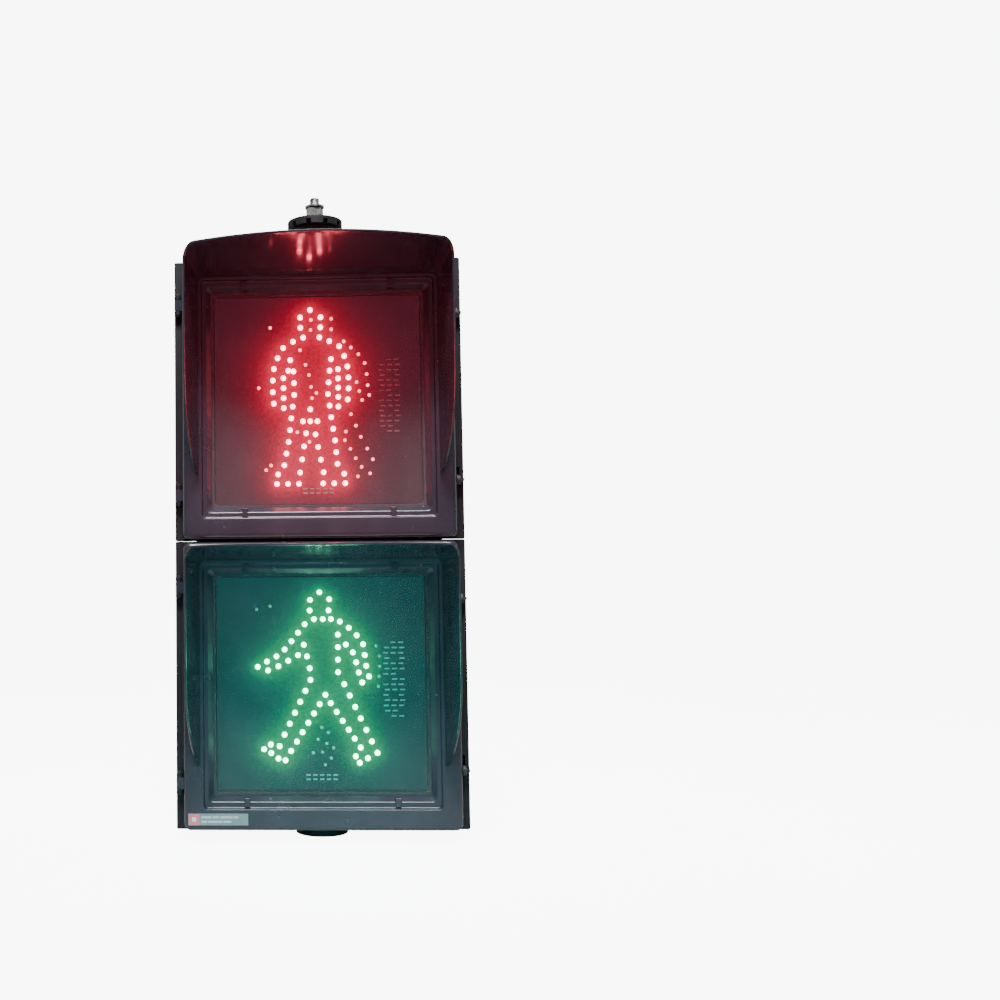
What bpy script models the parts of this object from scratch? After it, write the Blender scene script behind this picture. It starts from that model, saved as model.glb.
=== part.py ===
"""Two-section pedestrian signal head: housings, hinged doors with visors, LED modules and latches.

Front is -Y, right is +X and up is +Z. The vertical mounting axis is x = y = 0, and z = 0 is the
flat face of the bottom mounting boss. Each section is modelled about its own centre.
"""

import math

import bmesh
import bpy
from mathutils import Matrix, Vector

MM = 0.001
GAP = 0.3 * MM

# Whole head
SECTION_PITCH = 340 * MM
BOSS_DROP = 12 * MM
HOUSING_TOP = BOSS_DROP + 2 * SECTION_PITCH
SECTION_CENTRES = {
    "upper": BOSS_DROP + 1.5 * SECTION_PITCH,
    "lower": BOSS_DROP + 0.5 * SECTION_PITCH,
}
CORNER_STEPS = 4
ROUND_SIDES = 24

# Housing shell of one section (half sizes in X and Z)
FLANGE_HALF = (172.5 * MM, SECTION_PITCH / 2 - GAP / 2)
FLANGE_RADIUS = 2 * MM
SHELL_INSET = 1 * MM
SHELL_HALF = (158 * MM, SECTION_PITCH / 2 - SHELL_INSET)
MOUTH_HALF = (155 * MM, 160 * MM)
WALL = 3.1 * MM
FLANGE_FRONT = -46 * MM
FLANGE_THICKNESS = 4 * MM
FLANGE_BACK = FLANGE_FRONT + FLANGE_THICKNESS
HOUSING_BACK = 62 * MM
HOUSING_SIDE_END = HOUSING_BACK - 24 * MM
HOUSING_TAPER = 10 * MM
HOUSING_BEND = 2.5 * MM
SEAL_GROOVE_INNER = (158 * MM, 162.2 * MM)
SEAL_GROOVE_WIDTH = 4.3 * MM
SEAL_GROOVE_DEPTH = 2.3 * MM

# Door frame
DOOR_HALF = (162.5 * MM, 168.5 * MM)
DOOR_FACE = -65 * MM
DOOR_BACK = FLANGE_FRONT - GAP
DOOR_RADIUS = 8 * MM
DOOR_WALL = 3 * MM
WINDOW_HALF = (139 * MM, 143.5 * MM)
SHELF_Y = -58 * MM
LIP_HALF = (128 * MM, 130.5 * MM)
LIP_BACK = -50.2 * MM
COLLAR_HALF = (138 * MM, 140.5 * MM)
COLLAR_END = -38 * MM

# Visor
VISOR_BASE_HALF_WIDTH = 145.5 * MM
VISOR_BASE_TOP = 149.5 * MM
VISOR_BASE_CORNER = 10 * MM
VISOR_FRONT_HALF_WIDTH = 153.5 * MM
VISOR_FRONT_TOP = 163 * MM
VISOR_FRONT_CORNER = 16 * MM
VISOR_WALL = 3 * MM
VISOR_SIDE_DEPTH = 85 * MM
VISOR_CORNER_DEPTH = 96 * MM
VISOR_CENTRE_DEPTH = 140 * MM
VISOR_SIDE_BOTTOM = -92 * MM
VISOR_SIDE_STRAIGHT_TO = 43 * MM
VISOR_SIDE_FADE = 140 * MM
TONGUE_HALF_LENGTH = 7 * MM
TONGUE_HALF_THICKNESS = 0.9 * MM
TONGUE_DEPTH = 5 * MM
ROOF_TONGUE_X = 60 * MM
SIDE_TONGUE_HEIGHT = 30 * MM

# LED module
SEAL_THICKNESS = 1.5 * MM
LENS_THICKNESS = 3 * MM
TRAY_HALF = (128 * MM, 130 * MM)
TRAY_BACK = -14 * MM
TRAY_WALL = 2.5 * MM
CARRIER_HALF = (124 * MM, 126 * MM)
CARRIER_FRONT = -38 * MM
CARRIER_THICKNESS = 2.4 * MM
BOARD_THICKNESS = 1.6 * MM
DRIVER_HALF = (55 * MM, 40 * MM)
DRIVER_CLEARANCE = 3 * MM
CLIP_X = 88 * MM
CLIP_WIDTH = 7 * MM
CLIP_THICKNESS = 2.2 * MM

# Label on the lower door
LABEL_LEFT = -157 * MM
LABEL_BOTTOM = -161.5 * MM
LABEL_SIZE = (70 * MM, 0.6 * MM, 13.5 * MM)

# Hinges (left side) and latches (right side)
HINGE_X = -168 * MM
HINGE_Y = -52 * MM
HINGE_HEIGHTS = {"top": 115 * MM, "bottom": -115 * MM}
KNUCKLE_RADIUS = 4 * MM
KNUCKLE_HALF_LENGTH = 7 * MM
EYE_LENGTH = 5 * MM
PIN_RADIUS = 1.9 * MM
PIN_BORE = 2.25 * MM
PIN_HEAD_RADIUS = 3 * MM
PIN_HEAD_HEIGHT = 1.5 * MM
LATCH_Y = -54.5 * MM
LATCH_HEIGHTS = {"top": 100 * MM, "bottom": -100 * MM}
LATCH_INNER_X = DOOR_HALF[0] + GAP
LATCH_HUB_RADIUS = 6 * MM
LATCH_HUB_LENGTH = 5 * MM
LATCH_TONGUE_REACH = 16.5 * MM
LATCH_TONGUE_HALF_WIDTH = 3 * MM
LATCH_BAR_REACH = 5.2 * MM
LATCH_BAR_HALF_WIDTH = 1.6 * MM
LATCH_AXLE_RADIUS = 2 * MM
KEEPER_WALL = 2 * MM
KEEPER_DEPTH = 6.5 * MM
KEEPER_BELOW = 4 * MM
KEEPER_ABOVE = 16 * MM

# Tie rod and what it clamps
ROD_RADIUS = 6 * MM
ROD_HOLE = 7 * MM
ROD_BOTTOM = 4 * MM
ROD_CHAMFER = (0.8 * MM, 1 * MM)
NECK_BORE = 6.8 * MM
NECK_SEAL = (20 * MM, 38 * MM, 1.7 * MM)
NECK_BASE_RADIUS = 40 * MM
NECK_SHOULDER_RADIUS = 30 * MM
NECK_THROAT_RADIUS = 25 * MM
NECK_TOP_RADIUS = 27 * MM
NECK_TOP = HOUSING_TOP + 50 * MM
CAP_RADIUS = 34 * MM
CAP_TOP = HOUSING_TOP + 60 * MM
CAP_CHAMFER = 1.2 * MM
CAP_SLOTS = 10
CAP_SLOT_SIZE = (5 * MM, 6 * MM, 6 * MM)
CAP_SLOT_TURN = math.radians(4)
WASHER_BORE = 6.5 * MM
PLAIN_WASHER = (15 * MM, 3 * MM)
LOCK_WASHER = (10.5 * MM, 2.7 * MM)
BRACKET_WASHER = (12 * MM, 2.5 * MM)
BOTTOM_WASHER = (15 * MM, 2.5 * MM)
NUT_ACROSS_FLATS = 19 * MM
NUT_HEIGHT = 10.8 * MM
NUT_CHAMFER = 1 * MM
ROD_TOP = CAP_TOP + 30 * MM

# Bottom boss, and the coupling between the two sections
BOSS_RADIUS = 31.5 * MM
BOSS_CHAMFER = 1 * MM
BOSS_POCKET = (6.6 * MM, 3.5 * MM)
BOSS_SEAL = (9 * MM, 29 * MM, 1.5 * MM)
BOSS_HOLE = (2.6 * MM, 7 * MM)
BOSS_HOLE_CIRCLE = 22 * MM
BUSH_BORE = 20 * MM
BUSH_RADIUS = 24.6 * MM
BUSH_FLANGE = (31 * MM, 5 * MM)
BUSH_REACH = 9 * MM
RING_NUT = (25.2 * MM, 31 * MM, 7 * MM)
SECTION_SEAL = (27 * MM, 40 * MM)

# Terminal blocks, loom and grommet
TERMINAL_SIZE = (55 * MM, 20 * MM, 36 * MM)
TERMINAL_X = 72 * MM
TERMINAL_DROPS = {"upper": 40 * MM, "lower": 60 * MM}
TERMINAL_SLOTS = 5
TERMINAL_PITCH = 10 * MM
TERMINAL_SLOT_SIZE = (6 * MM, 6 * MM, 12 * MM)
LOOM_RADIUS = 3 * MM
LOOM_END_GAP = 0.8 * MM
GROMMET_X = -95 * MM
GROMMET_Y = 20 * MM
GROMMET_BORE = 5.5 * MM
GROMMET_NECK = 10.5 * MM
GROMMET_FLANGE = (14 * MM, 2.5 * MM)
GROMMET_TIP = (12 * MM, 3 * MM)
CABLE_HOLE = 11 * MM


def clear_scene():
    for obj in list(bpy.data.objects):
        bpy.data.objects.remove(obj)


def make_finish(name, colour, roughness, metallic=0.0, alpha=1.0):
    material = bpy.data.materials.new(name)
    material.use_nodes = True
    shader = material.node_tree.nodes["Principled BSDF"]
    shader.inputs["Base Color"].default_value = (*colour, 1)
    shader.inputs["Roughness"].default_value = roughness
    shader.inputs["Metallic"].default_value = metallic
    shader.inputs["Alpha"].default_value = alpha
    return material


def make_finishes():
    return {
        "gloss_black": make_finish("gloss_black", (0.012, 0.012, 0.016), 0.18),
        "matt_black": make_finish("matt_black", (0.02, 0.02, 0.022), 0.55),
        "rubber": make_finish("rubber", (0.015, 0.015, 0.015), 0.8),
        "clear": make_finish("clear", (0.8, 0.82, 0.84), 0.05, alpha=0.3),
        "board_red": make_finish("board_red", (0.10, 0.01, 0.015), 0.5),
        "board_green": make_finish("board_green", (0.0, 0.09, 0.07), 0.5),
        "driver": make_finish("driver", (0.02, 0.16, 0.07), 0.5),
        "zinc": make_finish("zinc", (0.62, 0.62, 0.6), 0.35, metallic=1.0),
        "terminal": make_finish("terminal", (0.55, 0.55, 0.5), 0.5),
        "loom": make_finish("loom", (0.03, 0.03, 0.03), 0.6),
        "label": make_finish("label", (0.75, 0.74, 0.74), 0.4),
    }


def new_object(name, mesh, finish=None):
    obj = bpy.data.objects.new(name, mesh)
    bpy.context.scene.collection.objects.link(obj)
    if finish:
        mesh.materials.append(finish)
    return obj


def mesh_from(name, points, faces):
    """A closed mesh with its faces turned outward, smooth except at real edges."""
    built = bmesh.new()
    corners = [built.verts.new(point) for point in points]
    for face in faces:
        built.faces.new([corners[index] for index in face])
    bmesh.ops.recalc_face_normals(built, faces=built.faces)
    mesh = bpy.data.meshes.new(name)
    built.to_mesh(mesh)
    built.free()
    mesh.shade_smooth()
    mesh.set_sharp_from_angle(angle=math.radians(30))
    return mesh


def skin(name, rings, loop, finish=None):
    """Joins rings of points one after the other. A loop closes on itself, otherwise both ends are capped."""
    count = len(rings[0])
    points = [point for ring in rings for point in ring]
    faces = []
    spans = len(rings) if loop else len(rings) - 1
    for span in range(spans):
        here = span * count
        there = ((span + 1) % len(rings)) * count
        for step in range(count):
            after = (step + 1) % count
            faces.append((here + step, here + after, there + after, there + step))
    if not loop:
        faces.append(tuple(range(count)))
        faces.append(tuple(range(len(points) - count, len(points))))
    return new_object(name, mesh_from(name, points, faces), finish)


def rounded_rectangle(half, radius, y):
    """Points of a rounded rectangle in a plane of constant Y, counted round from the +X side."""
    points = []
    for turn, (side_x, side_z) in enumerate(((1, 1), (-1, 1), (-1, -1), (1, -1))):
        centre_x = side_x * (half[0] - radius)
        centre_z = side_z * (half[1] - radius)
        for step in range(CORNER_STEPS + 1):
            angle = math.radians(90) * (turn + step / CORNER_STEPS)
            x = centre_x + radius * math.cos(angle)
            z = centre_z + radius * math.sin(angle)
            points.append((x, y, z))
    return points


def framed(name, sections, loop, finish=None):
    """A frame, cup or plate whose sections are rounded rectangles: ((half width, half height), radius, y)."""
    rings = [rounded_rectangle(half, radius, y) for half, radius, y in sections]
    return skin(name, rings, loop, finish)


def grown(half, amount):
    return (half[0] + amount, half[1] + amount)


def plate(name, half, radius, front, back, finish=None):
    return framed(name, [(half, radius, front), (half, radius, back)], False, finish)


def ring_frame(name, inner_half, width, radius, front, back, finish=None):
    outer_half = grown(inner_half, width)
    sections = [
        (outer_half, radius + width, back),
        (outer_half, radius + width, front),
        (inner_half, radius, front),
        (inner_half, radius, back),
    ]
    return framed(name, sections, True, finish)


def turned(name, profile, loop, finish=None, centre=(0, 0, 0), sides=ROUND_SIDES):
    """Turns a profile of (radius, height) about the vertical axis through centre."""
    rings = []
    for radius, height in profile:
        ring = []
        for step in range(sides):
            angle = math.tau * (step + 0.5) / sides
            x = centre[0] + radius * math.cos(angle)
            y = centre[1] + radius * math.sin(angle)
            ring.append((x, y, centre[2] + height))
        rings.append(ring)
    return skin(name, rings, loop, finish)


def washer(name, inner, outer, bottom, top, finish):
    profile = [(outer, bottom), (outer, top), (inner, top), (inner, bottom)]
    return turned(name, profile, True, finish)


def rod_washer(name, size, bottom, finish):
    """A washer on the tie rod, from its (radius, thickness). Gives the height of its top face."""
    radius, thickness = size
    washer(name, WASHER_BORE, radius, bottom, bottom + thickness, finish)
    return bottom + thickness


def hexagon_radius(across_flats, angle):
    return across_flats / 2 / math.cos(angle % (math.tau / 6) - math.tau / 12)


def hex_nut(name, bottom, finish):
    """A hexagonal nut with its two outer edges chamfered and a plain round bore."""
    top = bottom + NUT_HEIGHT
    levels = [
        (WASHER_BORE, bottom),
        (NUT_ACROSS_FLATS / 2, bottom),
        (None, bottom + NUT_CHAMFER),
        (None, top - NUT_CHAMFER),
        (NUT_ACROSS_FLATS / 2, top),
        (WASHER_BORE, top),
    ]
    rings = []
    for radius, height in levels:
        ring = []
        for step in range(ROUND_SIDES):
            angle = math.tau * step / ROUND_SIDES
            reach = radius or hexagon_radius(NUT_ACROSS_FLATS, angle)
            ring.append((reach * math.cos(angle), reach * math.sin(angle), height))
        rings.append(ring)
    return skin(name, rings, True, finish)


def block(name, low, high, finish=None):
    x, y, z = zip(low, high)
    corners = ((0, 0), (1, 0), (1, 1), (0, 1))
    below = [(x[a], y[b], z[0]) for a, b in corners]
    above = [(x[a], y[b], z[1]) for a, b in corners]
    return skin(name, [below, above], False, finish)


def rod_along_x(name, radius, start, end, y, z, sides=16):
    rings = []
    for x in (start, end):
        ring = []
        for step in range(sides):
            angle = math.tau * (step + 0.5) / sides
            ring.append((x, y + radius * math.cos(angle), z + radius * math.sin(angle)))
        rings.append(ring)
    return skin(name, rings, False)


def combine(target, tool, operation):
    """Adds the tool to the target or cuts it away. The tool itself stays a hidden helper."""
    tool.hide_render = True
    tool.display_type = "WIRE"
    modifier = target.modifiers.new(tool.name, "BOOLEAN")
    modifier.operation = operation
    modifier.solver = "EXACT"
    modifier.object = tool
    tool.parent = target


def cut(target, tool):
    combine(target, tool, "DIFFERENCE")


def add(target, tool):
    combine(target, tool, "UNION")


def joint_empty(name, location):
    empty = bpy.data.objects.new(name, None)
    empty.empty_display_size = 20 * MM
    empty.location = location
    bpy.context.scene.collection.objects.link(empty)
    return empty


def place(objects, parent, offset):
    """Puts pieces modelled about the section's centre under a joint's empty, whose offset from it is given."""
    for obj in objects:
        obj.parent = parent
        obj.location = -Vector(offset)


def raise_to(objects, height):
    for obj in objects:
        obj.location = (0, 0, height)


def housing_sections():
    """From the inner floor forward to the mouth, round the flange and its groove, and back outside."""
    groove_floor = FLANGE_FRONT + SEAL_GROOVE_DEPTH
    groove_outer = grown(SEAL_GROOVE_INNER, SEAL_GROOVE_WIDTH)
    outer = SHELL_HALF
    inner = grown(outer, -WALL)
    return [
        (grown(inner, -HOUSING_TAPER), 12 * MM, HOUSING_BACK - WALL),
        (grown(inner, -HOUSING_BEND), 11 * MM, HOUSING_BACK - WALL - 6 * MM),
        (inner, 9 * MM, HOUSING_SIDE_END),
        (inner, 9 * MM, FLANGE_BACK + 1 * MM),
        (MOUTH_HALF, 9 * MM, FLANGE_BACK),
        (MOUTH_HALF, 9 * MM, FLANGE_FRONT),
        (SEAL_GROOVE_INNER, 9 * MM, FLANGE_FRONT),
        (SEAL_GROOVE_INNER, 9 * MM, groove_floor),
        (groove_outer, 10 * MM, groove_floor),
        (groove_outer, 10 * MM, FLANGE_FRONT),
        (FLANGE_HALF, FLANGE_RADIUS, FLANGE_FRONT),
        (FLANGE_HALF, FLANGE_RADIUS, FLANGE_BACK),
        (outer, 6 * MM, FLANGE_BACK),
        (outer, 12 * MM, HOUSING_SIDE_END),
        (grown(outer, -HOUSING_BEND), 14 * MM, HOUSING_BACK - 6 * MM),
        (grown(outer, -HOUSING_TAPER), 14 * MM, HOUSING_BACK),
    ]


def add_housing_hinge_eyes(housing):
    """Two eyes on the flange for each hinge, above and below the door's knuckle."""
    for place_name, height in HINGE_HEIGHTS.items():
        for side in (-1, 1):
            near = height + side * (KNUCKLE_HALF_LENGTH + GAP)
            far = near + side * EYE_LENGTH
            low, high = sorted((near, far))
            centre = (HINGE_X, HINGE_Y, 0)
            tag = f"{housing.name}_{place_name}_{'above' if side > 0 else 'below'}"
            eye_profile = [(KNUCKLE_RADIUS, low), (KNUCKLE_RADIUS, high)]
            eye = turned(f"{tag}_eye", eye_profile, False, centre=centre)
            web_low = (HINGE_X - KNUCKLE_RADIUS, HINGE_Y, low)
            web_high = (HINGE_X + KNUCKLE_RADIUS, FLANGE_FRONT + 2 * MM, high)
            add(housing, eye)
            add(housing, block(f"{tag}_web", web_low, web_high))
    bore_profile = [(PIN_BORE, -FLANGE_HALF[1]), (PIN_BORE, FLANGE_HALF[1])]
    bore = turned(f"{housing.name}_pin_bore", bore_profile, False, centre=(HINGE_X, HINGE_Y, 0), sides=16)
    cut(housing, bore)


def add_latch_keepers(housing):
    """Closed pockets behind the flange, beside the door, where the latch tongues enter and swing upward."""
    for place_name, height in LATCH_HEIGHTS.items():
        low = Vector((LATCH_INNER_X + 0.1 * MM, FLANGE_FRONT, height - KEEPER_BELOW))
        high = Vector((LATCH_INNER_X + 4.8 * MM, FLANGE_BACK + KEEPER_DEPTH, height + KEEPER_ABOVE))
        tag = f"{housing.name}_{place_name}_keeper"
        case_low = (SHELL_HALF[0] - 1 * MM, FLANGE_BACK - 1 * MM, low.z - KEEPER_WALL)
        case_high = (high.x + KEEPER_WALL, high.y + KEEPER_WALL, high.z + KEEPER_WALL)
        add(housing, block(f"{tag}_case", case_low, case_high))
        mouth = low - Vector((0, 1 * MM, 0))
        cut(housing, block(f"{tag}_space", mouth, high))


def cut_wall_hole(housing, name, radius, wall_side, centre=(0, 0)):
    """A round hole through the housing's top wall (wall_side 1) or bottom wall (-1)."""
    middle = wall_side * SHELL_HALF[1]
    profile = [(radius, middle - 2 * WALL), (radius, middle + 2 * WALL)]
    cut(housing, turned(f"{housing.name}_{name}", profile, False, centre=(*centre, 0)))


def make_housing(section, finishes):
    housing = framed(f"{section}_housing", housing_sections(), False, finishes["gloss_black"])
    add_housing_hinge_eyes(housing)
    add_latch_keepers(housing)
    if section == "upper":
        cut_wall_hole(housing, "rod_hole", ROD_HOLE, 1)
        cut_wall_hole(housing, "coupling_hole", BUSH_RADIUS + 0.6 * MM, -1)
    else:
        cut_wall_hole(housing, "rod_hole", ROD_HOLE, -1)
        cut_wall_hole(housing, "coupling_hole", BUSH_RADIUS + 0.6 * MM, 1)
        cut_wall_hole(housing, "cable_hole", CABLE_HOLE, -1, (GROMMET_X, GROMMET_Y))
    return housing


def make_door_seal(section, finishes):
    inner_half = grown(SEAL_GROOVE_INNER, GAP)
    width = SEAL_GROOVE_WIDTH - 2 * GAP
    back = FLANGE_FRONT + SEAL_GROOVE_DEPTH - GAP
    return ring_frame(
        f"{section}_door_seal", inner_half, width, 9 * MM, FLANGE_FRONT, back, finishes["rubber"]
    )


def make_hinge_pins(section, finishes):
    pins = []
    reach = KNUCKLE_HALF_LENGTH + GAP + EYE_LENGTH
    for place_name, height in HINGE_HEIGHTS.items():
        head_bottom = height + reach + GAP
        profile = [
            (PIN_RADIUS, height - reach - 1 * MM),
            (PIN_RADIUS, head_bottom),
            (PIN_HEAD_RADIUS, head_bottom),
            (PIN_HEAD_RADIUS, head_bottom + PIN_HEAD_HEIGHT),
        ]
        name = f"{section}_hinge_pin_{place_name}"
        centre = (HINGE_X, HINGE_Y, 0)
        pins.append(turned(name, profile, False, finishes["matt_black"], centre, sides=16))
    return pins


def door_sections():
    """The door's cross-section: outer wall, rounded edge, face, stepped window, lens lip and collar."""
    inner_wall = grown(DOOR_HALF, -DOOR_WALL)
    window_back = grown(WINDOW_HALF, 2.5 * MM)
    plate_back = DOOR_FACE + 3.2 * MM
    collar_outer = grown(COLLAR_HALF, 2.5 * MM)
    shelf_back = SHELF_Y + 2.6 * MM
    return [
        (DOOR_HALF, DOOR_RADIUS, DOOR_BACK),
        (DOOR_HALF, DOOR_RADIUS, DOOR_FACE + 5 * MM),
        (grown(DOOR_HALF, -1.5 * MM), DOOR_RADIUS - 1.2 * MM, DOOR_FACE + 1.5 * MM),
        (grown(DOOR_HALF, -5 * MM), DOOR_RADIUS - 3 * MM, DOOR_FACE),
        (WINDOW_HALF, 5 * MM, DOOR_FACE),
        (grown(WINDOW_HALF, -0.8 * MM), 5 * MM, SHELF_Y - 0.5 * MM),
        (grown(LIP_HALF, 5 * MM), 4 * MM, SHELF_Y + 0.5 * MM),
        (grown(LIP_HALF, 4 * MM), 4 * MM, LIP_BACK - 2.8 * MM),
        (LIP_HALF, 3 * MM, LIP_BACK - 2.3 * MM),
        (LIP_HALF, 3 * MM, LIP_BACK),
        (COLLAR_HALF, 4 * MM, LIP_BACK),
        (COLLAR_HALF, 4 * MM, COLLAR_END),
        (collar_outer, 6 * MM, COLLAR_END),
        (collar_outer, 6 * MM, shelf_back),
        (window_back, 7 * MM, shelf_back),
        (window_back, 7 * MM, plate_back),
        (inner_wall, DOOR_RADIUS - 3 * MM, plate_back),
        (inner_wall, DOOR_RADIUS - 3 * MM, DOOR_BACK),
    ]


def add_door_knuckles(door):
    for place_name, height in HINGE_HEIGHTS.items():
        low = height - KNUCKLE_HALF_LENGTH
        high = height + KNUCKLE_HALF_LENGTH
        tag = f"{door.name}_{place_name}"
        profile = [(KNUCKLE_RADIUS, low), (KNUCKLE_RADIUS, high)]
        web_low = (HINGE_X, HINGE_Y - 3.5 * MM, low)
        web_high = (DOOR_WALL / 2 - DOOR_HALF[0], HINGE_Y + 3.5 * MM, high)
        add(door, turned(f"{tag}_knuckle", profile, False, centre=(HINGE_X, HINGE_Y, 0)))
        add(door, block(f"{tag}_web", web_low, web_high))
    bore_profile = [(PIN_BORE, -DOOR_HALF[1]), (PIN_BORE, DOOR_HALF[1])]
    bore = turned(f"{door.name}_pin_bore", bore_profile, False, centre=(HINGE_X, HINGE_Y, 0), sides=16)
    cut(door, bore)


def visor_tongues(grow):
    """Blocks for the visor's four tongues. Grown a little, they are the door's slots."""
    middle_x = VISOR_BASE_HALF_WIDTH - VISOR_WALL / 2
    middle_z = VISOR_BASE_TOP - VISOR_WALL / 2
    half_long = TONGUE_HALF_LENGTH + grow
    half_thin = TONGUE_HALF_THICKNESS + grow
    front = DOOR_FACE - 2 * MM
    back = DOOR_FACE + TONGUE_DEPTH + grow
    spots = []
    for side in (-1, 1):
        spots.append((side * ROOF_TONGUE_X, middle_z, half_long, half_thin))
        spots.append((side * middle_x, SIDE_TONGUE_HEIGHT, half_thin, half_long))
    blocks = []
    for x, z, half_x, half_z in spots:
        blocks.append(((x - half_x, front, z - half_z), (x + half_x, back, z + half_z)))
    return blocks


def make_door_frame(section, finishes):
    door = framed(f"{section}_door_frame", door_sections(), True, finishes["gloss_black"])
    add_door_knuckles(door)
    for count, (low, high) in enumerate(visor_tongues(GAP)):
        cut(door, block(f"{door.name}_slot_{count}", low, high))
    for place_name, height in LATCH_HEIGHTS.items():
        name = f"{door.name}_{place_name}_axle_hole"
        start = DOOR_HALF[0] - 2 * DOOR_WALL
        end = DOOR_HALF[0] + 1 * MM
        cut(door, rod_along_x(name, LATCH_AXLE_RADIUS + 0.4 * MM, start, end, LATCH_Y, height))
    return door


def visor_depth_on_side(height):
    """How far the side wall reaches forward: even at the top, then curving back to the door."""
    below = max(0.0, VISOR_SIDE_STRAIGHT_TO - height)
    return VISOR_SIDE_DEPTH * (1 - (below / VISOR_SIDE_FADE) ** 3)


def visor_depth_on_roof(x):
    """The roof's front edge bulges forward in the middle."""
    bulge = VISOR_CENTRE_DEPTH - VISOR_CORNER_DEPTH
    return VISOR_CORNER_DEPTH + bulge * (1 - (x / VISOR_FRONT_HALF_WIDTH) ** 2)


def visor_half_outline(size, shrink):
    """Left half of the visor's outline, from the bottom of its side to the middle of its roof."""
    half_width, top, corner = (measure - shrink for measure in size)
    side_steps, corner_steps, roof_steps = 8, 4, 6
    outline = []
    for step in range(side_steps):
        share = step / side_steps
        outline.append((-half_width, VISOR_SIDE_BOTTOM + share * (top - corner - VISOR_SIDE_BOTTOM)))
    for step in range(corner_steps):
        angle = math.radians(90) * step / corner_steps
        x = -(half_width - corner) - corner * math.cos(angle)
        outline.append((x, top - corner + corner * math.sin(angle)))
    for step in range(roof_steps + 1):
        share = step / roof_steps
        outline.append((-(half_width - corner) * (1 - share), top))
    return outline, side_steps, corner_steps


def visor_stations():
    """Rings across the visor's wall, from the left side's bottom over the roof to the right side's."""
    half_stations = []
    base_size = (VISOR_BASE_HALF_WIDTH, VISOR_BASE_TOP, VISOR_BASE_CORNER)
    front_size = (VISOR_FRONT_HALF_WIDTH, VISOR_FRONT_TOP, VISOR_FRONT_CORNER)
    base, side_steps, corner_steps = visor_half_outline(base_size, 0)
    base_in = visor_half_outline(base_size, VISOR_WALL)[0]
    front = visor_half_outline(front_size, 0)[0]
    front_in = visor_half_outline(front_size, VISOR_WALL)[0]
    roof_start_depth = visor_depth_on_roof(front[side_steps + corner_steps][0])
    base_y = DOOR_FACE - GAP
    for index, outer in enumerate(front):
        if index < side_steps:
            depth = visor_depth_on_side(outer[1])
        elif index < side_steps + corner_steps:
            share = (index - side_steps) / corner_steps
            depth = VISOR_SIDE_DEPTH + (roof_start_depth - VISOR_SIDE_DEPTH) * share
        else:
            depth = visor_depth_on_roof(outer[0])
        # The flare follows the depth, so the cut-back side keeps the slope of the whole wall.
        flare = min(1.0, depth / VISOR_SIDE_DEPTH)
        ring = [(base[index][0], base_y, base[index][1])]
        for outline_base, outline_front in ((base, front), (base_in, front_in)):
            x = outline_base[index][0] + flare * (outline_front[index][0] - outline_base[index][0])
            z = outline_base[index][1] + flare * (outline_front[index][1] - outline_base[index][1])
            ring.append((x, DOOR_FACE - depth, z))
        ring.append((base_in[index][0], base_y, base_in[index][1]))
        half_stations.append(ring)
    mirrored = [[(-x, y, z) for x, y, z in ring] for ring in reversed(half_stations[:-1])]
    return half_stations + mirrored


def make_visor(section, finishes):
    visor = skin(f"{section}_visor", visor_stations(), False, finishes["gloss_black"])
    for count, (low, high) in enumerate(visor_tongues(0)):
        add(visor, block(f"{visor.name}_tongue_{count}", low, high))
    return visor


def make_lens_parts(section, finishes):
    fitted = grown(COLLAR_HALF, -GAP)
    seal_front = LIP_BACK + GAP
    lens_front = seal_front + SEAL_THICKNESS + GAP
    seal_inner = grown(LIP_HALF, 1 * MM)
    width = fitted[0] - seal_inner[0]
    seal = ring_frame(
        f"{section}_lens_seal",
        seal_inner,
        width,
        2 * MM,
        seal_front,
        seal_front + SEAL_THICKNESS,
        finishes["rubber"],
    )
    lens = plate(
        f"{section}_lens", fitted, 3.5 * MM, lens_front, lens_front + LENS_THICKNESS, finishes["clear"]
    )
    return [seal, lens], lens_front + LENS_THICKNESS


def make_clips(section, finishes):
    """L-shaped clips that stand on the window's shelf and press on the lens lip, two above and two below."""
    clips = []
    shelf = SHELF_Y - 0.9 * MM
    foot = LIP_BACK - 3.2 * MM
    outer = WINDOW_HALF[1] - 1.5 * MM
    inner = LIP_HALF[1] + 1 * MM
    profile = [
        (shelf - CLIP_THICKNESS, outer),
        (shelf - CLIP_THICKNESS, inner),
        (foot, inner),
        (foot, inner + CLIP_THICKNESS),
        (shelf, inner + CLIP_THICKNESS),
        (shelf, outer),
    ]
    for side_x, left_right in ((-1, "left"), (1, "right")):
        for side_z, above_below in ((1, "top"), (-1, "bottom")):
            rings = []
            for edge in (-CLIP_WIDTH / 2, CLIP_WIDTH / 2):
                x = side_x * CLIP_X + edge
                rings.append([(x, y, side_z * z) for y, z in profile])
            name = f"{section}_lens_clip_{above_below}_{left_right}"
            clips.append(skin(name, rings, False, finishes["matt_black"]))
    return clips


def make_tray(section, rim_front, finishes):
    """Rear cover of the LED module, a cup whose rim presses on the lens."""
    rim_half = grown(COLLAR_HALF, -GAP)
    rim_back = rim_front + 3 * MM
    inner = grown(TRAY_HALF, -TRAY_WALL)
    sections = [
        (grown(inner, -6 * MM), 10 * MM, TRAY_BACK - TRAY_WALL),
        (inner, 10 * MM, TRAY_BACK - 8 * MM),
        (inner, 6 * MM, rim_front),
        (rim_half, 3.5 * MM, rim_front),
        (rim_half, 3.5 * MM, rim_back),
        (TRAY_HALF, 6 * MM, rim_back),
        (TRAY_HALF, 10 * MM, TRAY_BACK - 7 * MM),
        (grown(TRAY_HALF, -6 * MM), 12 * MM, TRAY_BACK),
    ]
    return framed(f"{section}_module_tray", sections, False, finishes["matt_black"])


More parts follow.
